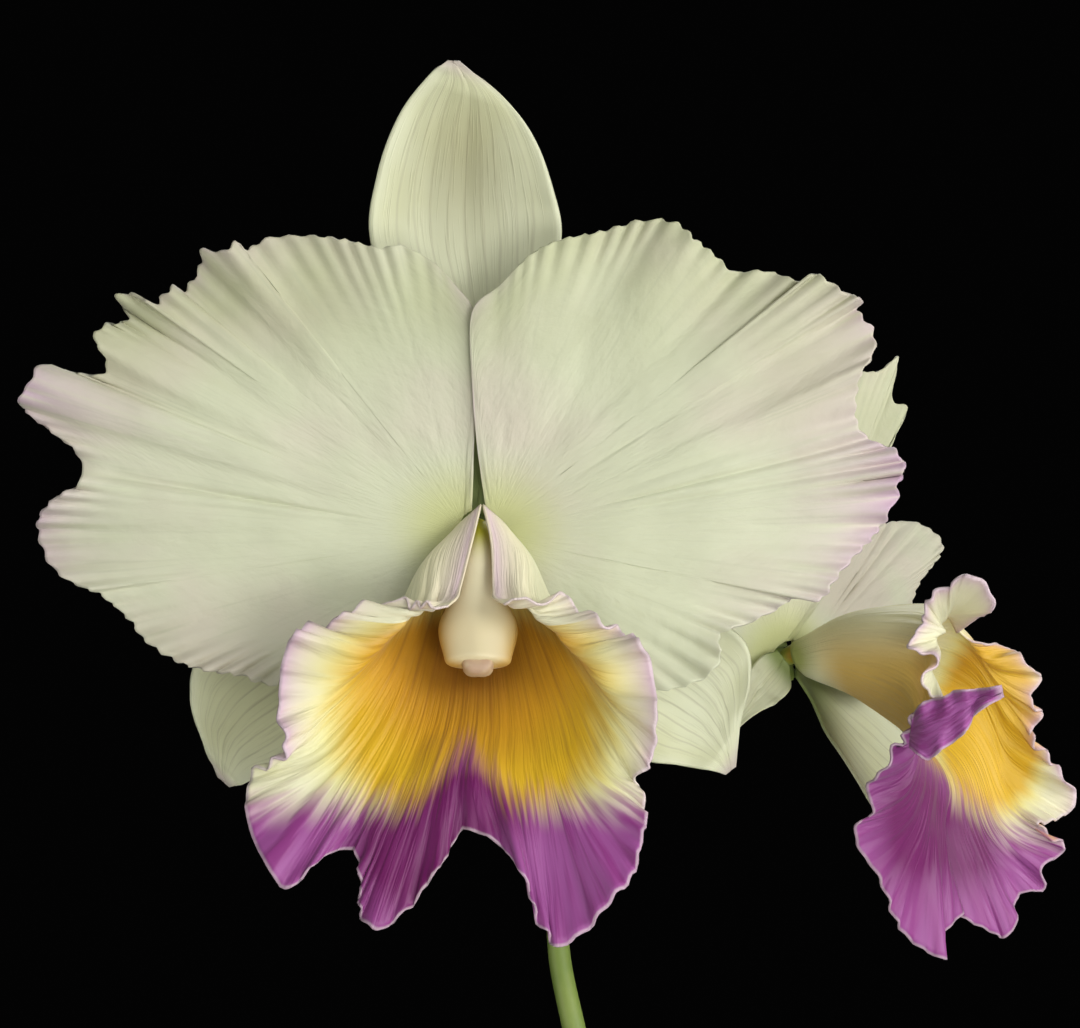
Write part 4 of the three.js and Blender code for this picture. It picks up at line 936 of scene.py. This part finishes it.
def second_lip_colours(u, v, seen, edge, from_side):
    across, up = seen[..., 0], seen[..., 1]
    near = window(v, 0.17, 0.21, 0.495, 0.505)
    far = window(v, 0.495, 0.505, 0.7, 0.76)
    throat = np.hypot((across - 41) / 10.5, (up + 13) / 17.5)
    far_line = np.maximum(-25 - (across - 33) * 0.72, -33) - up
    near_line = np.minimum(-9 - up, (u - 0.5) * 60)
    near_throat = np.hypot(u / 0.56, (v - 0.42) / 0.3)
    purple = near * near_line + far * far_line + OUTSIDE * (1 - near) * (1 - far)
    dark = 0.3 + np.exp(-((across - 26) / 7.5) ** 2 - ((up + 33) / 14) ** 2)
    dark = dark + 0.8 * np.exp(-((across - 38) / 6) ** 2 - ((up + 37) / 10) ** 2)
    return {
        "gold": 1 - np.where(v > 0.5, throat, near_throat),
        # The gold darkens toward the column: partly darker gold, partly painted shade
        "deep": 0.6 - np.hypot(across - 34, up - 2) / 25,
        "purple": purple,
        "dark": np.clip(dark, 0, 1),
        "blush": np.clip((1 - near) * (1 - far) * np.exp(-edge / 1.8), 0, 0.75),
        "hood_blush": 0,
        "hood_rim": 0,
        "hood": 1 - smooth_step(0.7, 0.85, u),
        "green": np.clip(1 - smooth_step(2, 8, np.hypot(across, up)), 0, 0.9),
        "warm": 0.85 * smooth_step(10, -3, up) * smooth_step(0.05, 0.25, u),
    }


SECOND_LIP_FOLD = {
    "left": [[25.4, -11.4, -28.6], [27.6, -8.4, -30.5], [31.4, -7.4, -29.5], [34.4, -6, -30],
             [38.6, -5.8, -29], [43.2, -5, -29.5]],
    "right": [[25, -17.5, -28], [28.4, -20, -29], [31.8, -17.6, -30], [35.8, -14.8, -29.5],
              [38.4, -10.6, -30.5], [43.8, -7.4, -30]],
    "bulge": -1.4, "ripple": 1.3, "ripples": 4,
}
# The second lip's middle lobe is folded along its middle line, by the depth of its keel
MAIN_LIP.update(seed=81, colours=main_lip_colours, keel=0)
SECOND_LIP.update(seed=91, colours=second_lip_colours, keel=3, fold=SECOND_LIP_FOLD)


# Columns and their anther caps

COLUMN_SPINE = [[0, 0, -0.2], [0, -0.9, 3.8], [0, -6, 9.4], [0, -13, 14.6], [0, -19.5, 19], [0, -26, 23]]
SECOND_COLUMN_SPINE = [[0, 0, 0.1], [0, -0.6, 4], [0, -3.8, 9], [0, -7, 14], [0, -10, 19], [0, -14, 24]]
COLUMN_WIDTHS = [2.2, 2.8, 3.7, 4.9, 7.6, 6.4]
COLUMN_DEPTHS = [2.2, 2.7, 3.2, 3.8, 4.4, 3.4]
COLUMN_ROWS = 48
COLUMN_SIDES = 48
COLUMN_KEEL = 0.06
COLUMN_TEETH = 0.12              # how much the teeth beside the cap narrow its end
COLUMN_HOLLOW = 0.6              # depth of its underside, as a share of its upper side
CAP_SIDES = 40
CAP_HALF_WIDTH = 3.0
CAP_HALF_HEIGHT = 2.0
CAP_LIFT = 0.4
# How a column ends, and its cap's shape: (how far out, share of the width) for each ring
COLUMN_END = [(0.3, 0.985), (0.7, 0.95), (1.1, 0.86), (1.4, 0.6)]
CAP_PROFILE = [(0.2, 0.82), (0.7, 0.95), (1.2, 1.0), (2.2, 0.95), (2.9, 0.8), (3.4, 0.55), (3.6, 0.2)]


def column_axes(spine, place, t):
    line = along(spine, t)
    centre = place(*line.T)
    ahead = unit(np.gradient(centre, axis=0))
    side = unit(place(1, 0, 0) - place(0, 0, 0))
    top = -unit(np.cross(np.broadcast_to(side, ahead.shape), ahead))
    return centre, ahead, side, top


def column(name, spine, place, material):
    rows, sides = COLUMN_ROWS, COLUMN_SIDES
    t = np.linspace(0, 1, rows + 1)
    centre, ahead, side, top = column_axes(spine, place, t)
    angle = np.linspace(0, TURN, sides, endpoint=False)[None, :]
    width = value_along(COLUMN_WIDTHS, t)[:, None]
    depth = value_along(COLUMN_DEPTHS, t)[:, None]
    keel = 1 + COLUMN_KEEL * bump(math.pi / 2, 0.3, angle)
    teeth = 1 - COLUMN_TEETH * smooth_step(0.9, 1, t)[:, None] * bump(0, 0.5, np.cos(angle))
    down = np.where(np.sin(angle) < 0, COLUMN_HOLLOW, 1.0)
    points = (centre[:, None]
              + side * (width * np.cos(angle) * teeth)[..., None]
              + top[:, None] * (depth * down * keel * np.sin(angle))[..., None])
    rings = list(points)
    for out, share in COLUMN_END:
        rings.append(centre[-1] + ahead[-1] * out + (points[-1] - centre[-1]) * share)
    rows += len(COLUMN_END)
    grow = np.concatenate([t, np.ones(len(COLUMN_END))])
    marks = {"grow": np.repeat(grow, sides), "side": np.tile(np.cos(angle[0]) ** 4, rows + 1)}
    mesh_from(name, material, "column", np.array(rings).reshape(-1, 3), tube_faces(rows, sides), marks)


def anther_cap(name, spine, place, material):
    centre, ahead, side, top = column_axes(spine, place, np.array([0.96, 1.0]))
    angle = np.linspace(0, TURN, CAP_SIDES, endpoint=False)
    box = (np.abs(np.cos(angle)) ** 4 + np.abs(np.sin(angle)) ** 4) ** -0.25
    notch = 1 - 0.16 * bump(-math.pi / 2, 0.18, np.angle(np.exp(1j * angle)))
    rings = []
    for out, share in CAP_PROFILE:
        ring = (centre[1] + ahead[1] * out
                + side * (CAP_HALF_WIDTH * share * box * np.cos(angle))[:, None]
                + top[1] * (CAP_HALF_HEIGHT * share * box * notch * np.sin(angle) + CAP_LIFT)[:, None])
        rings.append(ring)
    points = np.array(rings).reshape(-1, 3)
    mesh_from(name, material, "anther_cap", points, tube_faces(len(CAP_PROFILE) - 1, CAP_SIDES))


# Pot, bark, rhizome and roots

POT_HEIGHT = 112
POT_FOOT_RADIUS = 47
POT_NECK_RADIUS = 62
POT_RIM_RADIUS = 68
POT_RIM_HEIGHT = 22
POT_WALL = 5
POT_FLOOR = 7
DRAIN_RADIUS = 6
DRAIN_CIRCLE = 24
DRAINS = 3
CRISP_ANGLE = 35
GAP = 0.3                        # between parts that rest on each other
BARK_TOP = 96
BARK_CHIPS = 26
CHIP_SIZE = (18, 12, 7)
CHIP_CIRCLE = 43
CHIP_GRID = 5                    # squares along each side of a chip's faces
CHIP_ROUGHNESS = (0.035, 0.05, 0.1)
SMALL_CHIPS = 150
SMALL_CHIP_CIRCLE = 53
GOLDEN_TURN = TURN * 0.381966
BARK_SEED = 12
MOSS_CUSHIONS = 46
RHIZOME_RADIUS = 5.5
RHIZOME_HEIGHT = BARK_TOP + 3
NECK_RADIUS = 5
NECK_TOP = RHIZOME_HEIGHT + 11
ROOT_RADIUS = 1.8

BULBS = [
    {"foot": (-46, -8), "lean": (-12, 4), "height": 92, "radius": 12},
    {"foot": (-19, 4), "lean": (-7, 12), "height": 108, "radius": 13.5},
    {"foot": (10, 9), "lean": (1, 2), "height": 104, "radius": 14},
    {"foot": (38, -2), "lean": (9, -4), "height": 62, "radius": 9.5},
]
FLOWERING_BULB = BULBS[2]
# Three places of each root: where it leaves the rhizome, on the bark, and where it goes in
ROOTS = [
    ((-36, -4), (-34, -20), (-26, -34)),
    ((-30, 0), (-36, 16), (-38, 34)),
    ((-6, 7), (-8, -8), (-2, -24)),
    ((0, 8), (-2, 24), (4, 40)),
    ((22, 6), (24, -10), (20, -28)),
    ((28, 4), (34, 18), (38, 32)),
]


def lathe(profile, sides):
    """A turned solid, closed at both ends of its profile on the axis."""
    points = [(0, 0, profile[0][1])]
    for radius, height in profile[1:-1]:
        for j in range(sides):
            angle = TURN * j / sides
            points.append((radius * math.cos(angle), radius * math.sin(angle), height))
    points.append((0, 0, profile[-1][1]))
    last = len(points) - 1
    rings = len(profile) - 2
    faces = []
    for j in range(sides):
        k = (j + 1) % sides
        faces.append((0, 1 + k, 1 + j))
        faces.append((last, last - sides + j, last - sides + k))
        for i in range(rings - 1):
            a, b = 1 + i * sides, 1 + (i + 1) * sides
            faces.append((a + j, a + k, b + k, b + j))
    return np.array(points, float), faces


def pot(material):
    rim_start = POT_HEIGHT - POT_RIM_HEIGHT
    profile = [
        (0, 0), (POT_FOOT_RADIUS - 2, 0), (POT_FOOT_RADIUS - 0.6, 0.6), (POT_FOOT_RADIUS, 2),
        (POT_NECK_RADIUS - 0.4, rim_start - 1), (POT_NECK_RADIUS + 0.6, rim_start),
        (POT_RIM_RADIUS - 1.6, rim_start + 0.5), (POT_RIM_RADIUS - 0.8, rim_start + 2),
        (POT_RIM_RADIUS - 0.2, POT_HEIGHT - 4), (POT_RIM_RADIUS - 0.5, POT_HEIGHT - 1.4),
        (POT_RIM_RADIUS - 1.8, POT_HEIGHT - 0.2), (POT_RIM_RADIUS - POT_WALL + 1.4, POT_HEIGHT - 0.1),
        (POT_RIM_RADIUS - POT_WALL + 0.1, POT_HEIGHT - 1.6),
        (POT_NECK_RADIUS - POT_WALL, rim_start - 2), (POT_FOOT_RADIUS - POT_WALL, POT_FLOOR), (0, POT_FLOOR),
    ]
    piece = mesh_from("pot_fine", material, "clay", *lathe(profile, 112))
    drill_drains(piece)
    mark_sharp(piece, CRISP_ANGLE)


def drill_drains(piece):
    for i in range(DRAINS):
        angle = TURN * i / DRAINS
        bpy.ops.mesh.primitive_cylinder_add(
            vertices=48, radius=DRAIN_RADIUS * MM, depth=40 * MM,
            location=(DRAIN_CIRCLE * MM * math.cos(angle), DRAIN_CIRCLE * MM * math.sin(angle), 0))
        drill = bpy.context.object
        cut = piece.modifiers.new("drain", "BOOLEAN")
        cut.operation, cut.object = "DIFFERENCE", drill
        apply_modifiers(piece)
        bpy.data.objects.remove(drill)


def mark_sharp(piece, degrees):
    """Keeps the edges that bend by more than this crisp."""
    mesh = piece.data
    normals = [p.normal.copy() for p in mesh.polygons]
    by_edge = {}
    for p in mesh.polygons:
        for key in p.edge_keys:
            by_edge.setdefault(key, []).append(p.index)
    limit = math.cos(math.radians(degrees))
    for e in mesh.edges:
        sides = by_edge.get(e.key, [])
        e.use_edge_sharp = len(sides) == 2 and normals[sides[0]].dot(normals[sides[1]]) < limit


def apply_modifiers(piece):
    graph = bpy.context.evaluated_depsgraph_get()
    mesh = bpy.data.meshes.new_from_object(piece.evaluated_get(graph))
    old = piece.data
    piece.modifiers.clear()
    piece.data = mesh
    bpy.data.meshes.remove(old)


def remeshed(piece, size, rounds):
    """One even skin over limbs that run into each other."""
    piece.modifiers.new("skin", "REMESH").voxel_size = size * MM
    soft = piece.modifiers.new("soft", "SMOOTH")
    soft.factor, soft.iterations = 0.5, rounds
    apply_modifiers(piece)
    piece.data.polygons.foreach_set("use_smooth", [True] * len(piece.data.polygons))


def rhizome(material):
    feet = [bulb["foot"] for bulb in BULBS]
    places = [(x, y, RHIZOME_HEIGHT) for x, y in [(-54, -12), *feet, (47, -7)]]
    radius = RHIZOME_RADIUS
    parts = [limb(places, [radius * 0.6, radius, radius, radius, radius, radius * 0.5], 24, 90)]
    for x, y in feet:
        neck = [(x, y, RHIZOME_HEIGHT), (x, y, NECK_TOP - 0.5)]
        parts.append(limb(neck, [NECK_RADIUS, NECK_RADIUS - 0.3], 24, 6))
    for start, middle, end in ROOTS:
        route = [(*start, RHIZOME_HEIGHT), (*middle, BARK_TOP + ROOT_RADIUS + 3),
                 (*end, BARK_TOP - 4), (*end, BARK_TOP - 22)]
        parts.append(limb(route, [share * ROOT_RADIUS for share in (1, 1, 0.9, 0.7)], 12, 40))
    piece = mesh_from("rhizome_and_roots_fine", material, "rhizome", *merged(parts))
    remeshed(piece, 0.8, 4)


def chip_draws():
    """The same draws as the solid bark's, so that the chips lie in the same places."""
    state = BARK_SEED
    while True:
        state = (state * 1664525 + 1013904223) % 4294967296
        yield state / 4294967296


def turned_about(points, axis, angle):
    c, s = math.cos(angle), math.sin(angle)
    one, two = [k for k in range(3) if k != axis]
    if axis == 1:
        one, two = two, one
    result = points.copy()
    result[:, one] = points[:, one] * c - points[:, two] * s
    result[:, two] = points[:, one] * s + points[:, two] * c
    return result


def rough_chip(size, random):
    """A chip with broken, layered faces."""
    line = np.linspace(-0.5, 0.5, CHIP_GRID + 1)
    points, faces = [], []
    for axis in range(3):
        for sign in (-0.5, 0.5):
            start = len(points)
            for a in line:
                for b in line:
                    corner = [a, b]
                    corner.insert(axis, sign)
                    points.append(corner)
            for i in range(CHIP_GRID):
                for j in range(CHIP_GRID):
                    a = start + i * (CHIP_GRID + 1) + j
                    quad = (a, a + 1, a + CHIP_GRID + 2, a + CHIP_GRID + 1)
                    flip = (sign > 0) != (axis == 1)
                    faces.append(quad if not flip else quad[::-1])
    # Points of two faces that meet at an edge take the same offset
    points = np.array(points)
    side = CHIP_GRID + 2
    grid = np.round((points + 0.5) * CHIP_GRID).astype(int)
    key = (grid[:, 0] * side + grid[:, 1]) * side + grid[:, 2]
    offsets = random.uniform(-1, 1, (side ** 3, 3)) * CHIP_ROUGHNESS
    return (points + offsets[key]) * size * 0.94, faces


def laid_chip(chip, tilts, reach, around, height):
    """A chip or cushion turned about each axis in turn and laid at its place on the bark."""
    points, faces = chip
    for axis, angle in enumerate(tilts):
        points = turned_about(points, axis, angle)
    return points + (reach * math.cos(around), reach * math.sin(around), height), faces


def bark(material):
    draws = chip_draws()
    random = np.random.default_rng(BARK_SEED)
    inner = POT_NECK_RADIUS - POT_WALL - GAP
    bottom = POT_FLOOR + GAP
    bed = lathe([
        (0, bottom), (POT_FOOT_RADIUS - POT_WALL - GAP, bottom),
        (inner - 0.2, POT_HEIGHT - POT_RIM_HEIGHT - 2), (inner, BARK_TOP - 3.4), (0, BARK_TOP - 1.6),
    ], 64)
    parts = [bed]
    for i in range(BARK_CHIPS):
        size = [side * (0.7 + 0.6 * next(draws)) for side in CHIP_SIZE]
        tilts = [(next(draws) - 0.5) * 0.9, (next(draws) - 0.5) * 0.9, next(draws) * TURN]
        reach = CHIP_CIRCLE * math.sqrt((i + 0.5) / BARK_CHIPS)
        chip = rough_chip(np.array(size), random)
        parts.append(laid_chip(chip, tilts, reach, i * GOLDEN_TURN, BARK_TOP - 2))
    for _ in range(SMALL_CHIPS):
        reach, around = SMALL_CHIP_CIRCLE * math.sqrt(random.uniform()), random.uniform(0, TURN)
        chip = rough_chip(random.uniform(3.5, 8, 3) * (1.3, 0.9, 0.5), random)
        tilts = random.uniform(-0.6, 0.6, 3) * (1, 1, 5)
        parts.append(laid_chip(chip, tilts, reach, around, BARK_TOP - 2.4))
    mesh_from("bark_medium_fine", material, "bark", *merged(parts), smooth=False)


def moss(material):
    """Small cushions of moss between the chips near the rim."""
    random = np.random.default_rng(BARK_SEED + 1)
    parts = []
    for _ in range(MOSS_CUSHIONS):
        reach, around = random.uniform(34, 53), random.uniform(0, TURN)
        size = random.uniform(1.6, 3.4)
        points, faces = limb([(0, 0, -1), (0, 0, 0), (0, 0, size * 0.5), (0, 0, size * 0.62)],
                             [size, size, size * 0.7, size * 0.15], 18, 8)
        points = points + random.normal(0, 0.12, points.shape)
        parts.append(laid_chip((points, faces), (), reach, around, BARK_TOP - 1.4))
    mesh_from("moss_cushions", material, "bark", *merged(parts))


# Pseudobulbs, leaves, sheath and flowering stem

BULB_OUTLINE = [0.42, 0.62, 0.86, 1, 0.98, 0.84, 0.66, 0.56]
BULB_RIBS = 7
BULB_RIB_DEPTH = 0.07
BULB_FLATNESS = 0.86


def bulb_top(bulb):
    foot, lean = bulb["foot"], bulb["lean"]
    return np.array([foot[0] + lean[0], foot[1] + lean[1], NECK_TOP + GAP + bulb["height"]], float)


def pseudobulb(number, bulb, material):
    rows, sides = 60, 84
    rise = np.linspace(0, 1, rows + 1)[:, None]
    angle = np.linspace(0, TURN, sides, endpoint=False)[None, :]
    share = value_along(BULB_OUTLINE, rise[:, 0])[:, None]
    ribs = np.sin(math.pi * np.minimum(rise * 1.1, 1))
    wrinkle = 0.012 * wander(angle[0] / TURN, number, 40)[None, :] * ribs
    rib = 1 + BULB_RIB_DEPTH * ribs * np.cos(BULB_RIBS * angle) + wrinkle
    reach = bulb["radius"] * share * rib
    x = bulb["foot"][0] + bulb["lean"][0] * rise ** 2 + reach * np.cos(angle)
    y = bulb["foot"][1] + bulb["lean"][1] * rise ** 2 + reach * BULB_FLATNESS * np.sin(angle)
    z = NECK_TOP + GAP + bulb["height"] * rise + 0 * angle
    points = np.stack([x, y, z], axis=-1).reshape(-1, 3)
    marks = {"grow": np.repeat(rise[:, 0], sides), "fan": np.tile(np.abs(angle[0] / math.pi - 1), rows + 1)}
    mesh_from(f"pseudobulb_{number}_fine", material, "pseudobulb", points, tube_faces(rows, sides), marks)


LEAVES = [
    {"bulb": 0, "seat": 2, "reach": (-112, -20), "rise": 58, "half_width": 21},
    {"bulb": 1, "seat": 2, "reach": (-84, 92), "rise": 38, "half_width": 23},
    {"bulb": 2, "seat": 5.2, "reach": (66, 104), "rise": 40, "half_width": 24},
    {"bulb": 3, "seat": 2, "reach": (92, -44), "rise": 66, "half_width": 17},
]
LEAF_WIDTHS = [0.16, 0.5, 0.86, 1, 0.95, 0.7, 0.16]
LEAF_FOLD = 0.45
# The line of a leaf, as shares of its reach and of its rise
LEAF_SPINE = [(0, 0), (0.08, 0.3), (0.27, 0.68), (0.52, 0.93), (0.8, 1), (1, 0.9)]


def leaf(spec, material):
    top = bulb_top(BULBS[spec["bulb"]])
    reach = np.array([*spec["reach"], 0.0])
    away = np.linalg.norm(reach)
    start = top + spec["seat"] * reach / away + (0, 0, 1.2)
    spine = [start + reach * out + np.array([0, 0, spec["rise"] * up]) for out, up in LEAF_SPINE]
    u, v = unit_grid(80, 32)
    t = 2 * v - 1
    centre = along(spine, u)
    ahead = unit(along(spine, u + 0.02) - along(spine, u - 0.02))
    side = np.broadcast_to(unit(np.array([-reach[1], reach[0], 0])), ahead.shape)
    face = unit(np.cross(ahead, side))
    half = value_along(LEAF_WIDTHS, u) * spec["half_width"]
    fold = LEAF_FOLD * half * np.abs(t) ** 1.8
    groove = -0.5 * bump(0, 0.06, t) * np.sin(math.pi * u)
    middle = centre + side * (half * t)[..., None] + face * (fold + groove)[..., None]
    sheet = closed_sheet(middle, LEAF_THICKNESS, {"fan": v, "grow": u})
    mesh_from(f"leaf_{spec['bulb'] + 1}_fine", material, "leaf", *sheet)


SHEATH_HEIGHT = 66
SHEATH_RADII = [6.6, 7.6, 8, 7.2, 6.2]
SHEATH_OPENING = 0.9


def sheath(material):
    x, y, z = bulb_top(FLOWERING_BULB)
    u, v = unit_grid(60, 60)
    radius = value_along(SHEATH_RADII, u)
    half = (TURN - SHEATH_OPENING - 1.2 * u * u) / 2
    angle = -math.pi / 2 + half * (2 * v - 1)
    point = 9 * u * u * (1 - np.abs(2 * v - 1))
    middle = np.stack([
        x - 2.4 * u * u + radius * np.cos(angle) * 0.72,
        y - 3.4 + 1.6 * u * u + radius * np.sin(angle) * 0.66,
        z + GAP + SHEATH_HEIGHT * u + point,
    ], axis=-1)
    sheet = closed_sheet(middle, SHEATH_THICKNESS, {"fan": v, "grow": u})
    mesh_from("sheath_fine", material, "sheath", *sheet)


STEM_RADIUS = 2.7
FORK = from_view(19, -42, -52)
OVARY_BACK = 13
OVARY_GAP = 0.8
PEDICEL_RADII = [2.1, 2.1, 3.1, 3.6]
RECEPTACLE_RADIUS = 5.2


def pedicel(place):
    """One bloom's stalk and ovary, from the fork to a little behind the bloom."""
    end = place(0, 0, -OVARY_GAP)
    back = -unit(place(0, 0, 1) - place(0, 0, 0))
    behind = end + back * OVARY_BACK
    bend = behind + back * OVARY_BACK * 1.2 - (0, 0, 7)
    return limb([FORK, bend, behind, end], PEDICEL_RADII, 24, 60, ribs=0.03)


def receptacle(place):
    """The flared end of the ovary, which closes the view between the parts of a bloom."""
    end, ahead = place(0, 0, -OVARY_GAP), unit(place(0, 0, 1) - place(0, 0, 0))
    return limb([end - ahead * 3.6, end - ahead * 1.6, end - ahead * 0.5, end],
                [3.3, 3.9, RECEPTACLE_RADIUS * 0.9, RECEPTACLE_RADIUS], 32, 12)


def stem(material):
    x, y, z = bulb_top(FLOWERING_BULB)
    places = [
        (x, y - 3.4, z + GAP), (x - 0.5, y - 3.2, z + 34), (x - 2.4, y - 1.8, z + 68),
        from_view(4, -78, -42), FORK, FORK + (1, 0.5, 5),
    ]
    radii = [share * STEM_RADIUS for share in (1, 1, 0.95, 0.9, 0.95, 0.5)]
    blooms = (in_main_bloom, in_second_bloom)
    parts = [limb(places, radii, 20, 120)]
    parts += [part(place) for part in (pedicel, receptacle) for place in blooms]
    piece = mesh_from("flower_stem_fine", material, "stem", *merged(parts))
    remeshed(piece, 0.5, 3)


# The plant

# The pieces of both blooms: name, the function that makes it, its shape and its place
BLOOM_PIECES = [
    ("main_dorsal_sepal", sepal, {**DORSAL_SEPAL, "seed": 3}, in_main_bloom),
    ("main_left_sepal", sepal, {**LEFT_SEPAL, "seed": 4}, in_main_bloom),
    ("main_right_sepal", sepal, {**RIGHT_SEPAL, "seed": 5}, in_main_bloom),
    ("main_left_petal", petal, LEFT_PETAL, in_main_bloom),
    ("main_right_petal", petal, RIGHT_PETAL, in_main_bloom),
    ("main_lip", lip, MAIN_LIP, in_main_bloom),
    ("main_column", column, COLUMN_SPINE, in_main_bloom),
    ("main_anther_cap", anther_cap, COLUMN_SPINE, in_main_bloom),
    ("second_dorsal_sepal", sepal, {**DORSAL_SEPAL, "seed": 6}, in_dorsal),
    ("second_left_sepal", sepal, {**NEAR_SEPAL, "seed": 7}, in_near_sepal),
    ("second_right_sepal", sepal, {**RIGHT_SEPAL, "seed": 8}, in_second_bloom),
    ("second_left_petal", petal, SECOND_NEAR_PETAL, in_near_petal),
    ("second_right_petal", petal, SECOND_FAR_PETAL, in_far_petal),
    ("second_lip", lip, SECOND_LIP, in_second_lip),
    ("second_column", column, SECOND_COLUMN_SPINE, in_second_bloom),
    ("second_anther_cap", anther_cap, SECOND_COLUMN_SPINE, in_second_bloom),
]


def build_plant():
    pot(clay_material())
    bark(bark_material())
    moss(moss_material())
    rhizome(root_material())
    bulb_skin = green_material("pseudobulb", (150, 170, 88), (112, 140, 62), 30.0, 0.5, 0.0008)
    leaf_skin = green_material("leaf", (88, 124, 50), (62, 98, 36), 60.0, 0.38, 0.0004)
    sheath_skin = green_material("sheath", (176, 180, 112), (140, 150, 84), 50.0, 0.65, 0.0004)
    for number, bulb in enumerate(BULBS, 1):
        pseudobulb(number, bulb, bulb_skin)
    for spec in LEAVES:
        leaf(spec, leaf_skin)
    sheath(sheath_skin)
    stem(stem_material())

    skins = {sepal: sepal_material(), petal: petal_material(), lip: lip_material(),
             column: column_material(), anther_cap: anther_material()}
    for name, make, spec, place in BLOOM_PIECES:
        make(name + "_fine", spec, place, skins[make])


# Camera, floor and light

SENSOR = 36
FLOOR_RADIUS = 0.6
BLOOMS_AIM = (0, -0.02, 0.4)
SECOND_LIP_AIM = (0.08, 0, 0.37)
# Each lamp's name, place, aim, width and power, in metres and watts
LAMPS = [
    ("key", (-0.2, -0.95, 0.8), BLOOMS_AIM, 0.6, 1.9),
    ("front", (0.3, -1.0, 0.35), BLOOMS_AIM, 0.8, 1.9),
    ("right", (0.66, -0.76, 0.84), (0.08, 0, 0.38), 0.6, 4.5),
    ("side", (0.95, -0.35, 0.55), (0.06, 0, 0.37), 0.6, 6),
    ("low", (0.2, -0.58, 0.24), SECOND_LIP_AIM, 0.25, 1.3),
    ("left", (-0.95, -0.5, 0.5), BLOOMS_AIM, 0.6, 2),
    ("back", (0.1, 0.7, 0.95), BLOOMS_AIM, 0.6, 3),
]


def add_camera():
    data = bpy.data.cameras.new("camera")
    data.sensor_width = SENSOR
    data.lens = SENSOR * (EYE_DISTANCE / PHOTO_SPAN)
    data.clip_start, data.clip_end = 0.01, 20
    camera = bpy.data.objects.new("camera", data)
    camera.location = (0, (PETAL_PLANE - EYE_DISTANCE) * MM, EYE_HEIGHT * MM)
    camera.rotation_euler = (math.pi / 2, 0, 0)
    bpy.context.scene.collection.objects.link(camera)
    bpy.context.scene.camera = camera


def add_floor():
    bpy.ops.mesh.primitive_circle_add(
        vertices=96, radius=FLOOR_RADIUS, fill_type="NGON", location=(0, 0, -0.5 * MM))
    floor = bpy.context.object
    floor.name = "floor"
    floor.data.materials.append(pale_material())


def add_lamp(name, place, aim, width, power):
    data = bpy.data.lights.new(name, "AREA")
    data.shape, data.size, data.energy = "DISK", width, power
    lamp = bpy.data.objects.new(name, data)
    lamp.location = place
    lamp.rotation_euler = (Vector(aim) - Vector(place)).to_track_quat("-Z", "Y").to_euler()
    bpy.context.scene.collection.objects.link(lamp)


def add_studio():
    """Lamps in an almost black room, as in the photo."""
    for lamp in LAMPS:
        add_lamp(*lamp)
    world = bpy.data.worlds.new("studio")
    world.use_nodes = True
    world.node_tree.nodes["Background"].inputs[0].default_value = (0.001, 0.001, 0.001, 1)
    bpy.context.scene.world = world
    bpy.context.scene.view_settings.view_transform = "Standard"


build_plant()
add_floor()
add_camera()
add_studio()
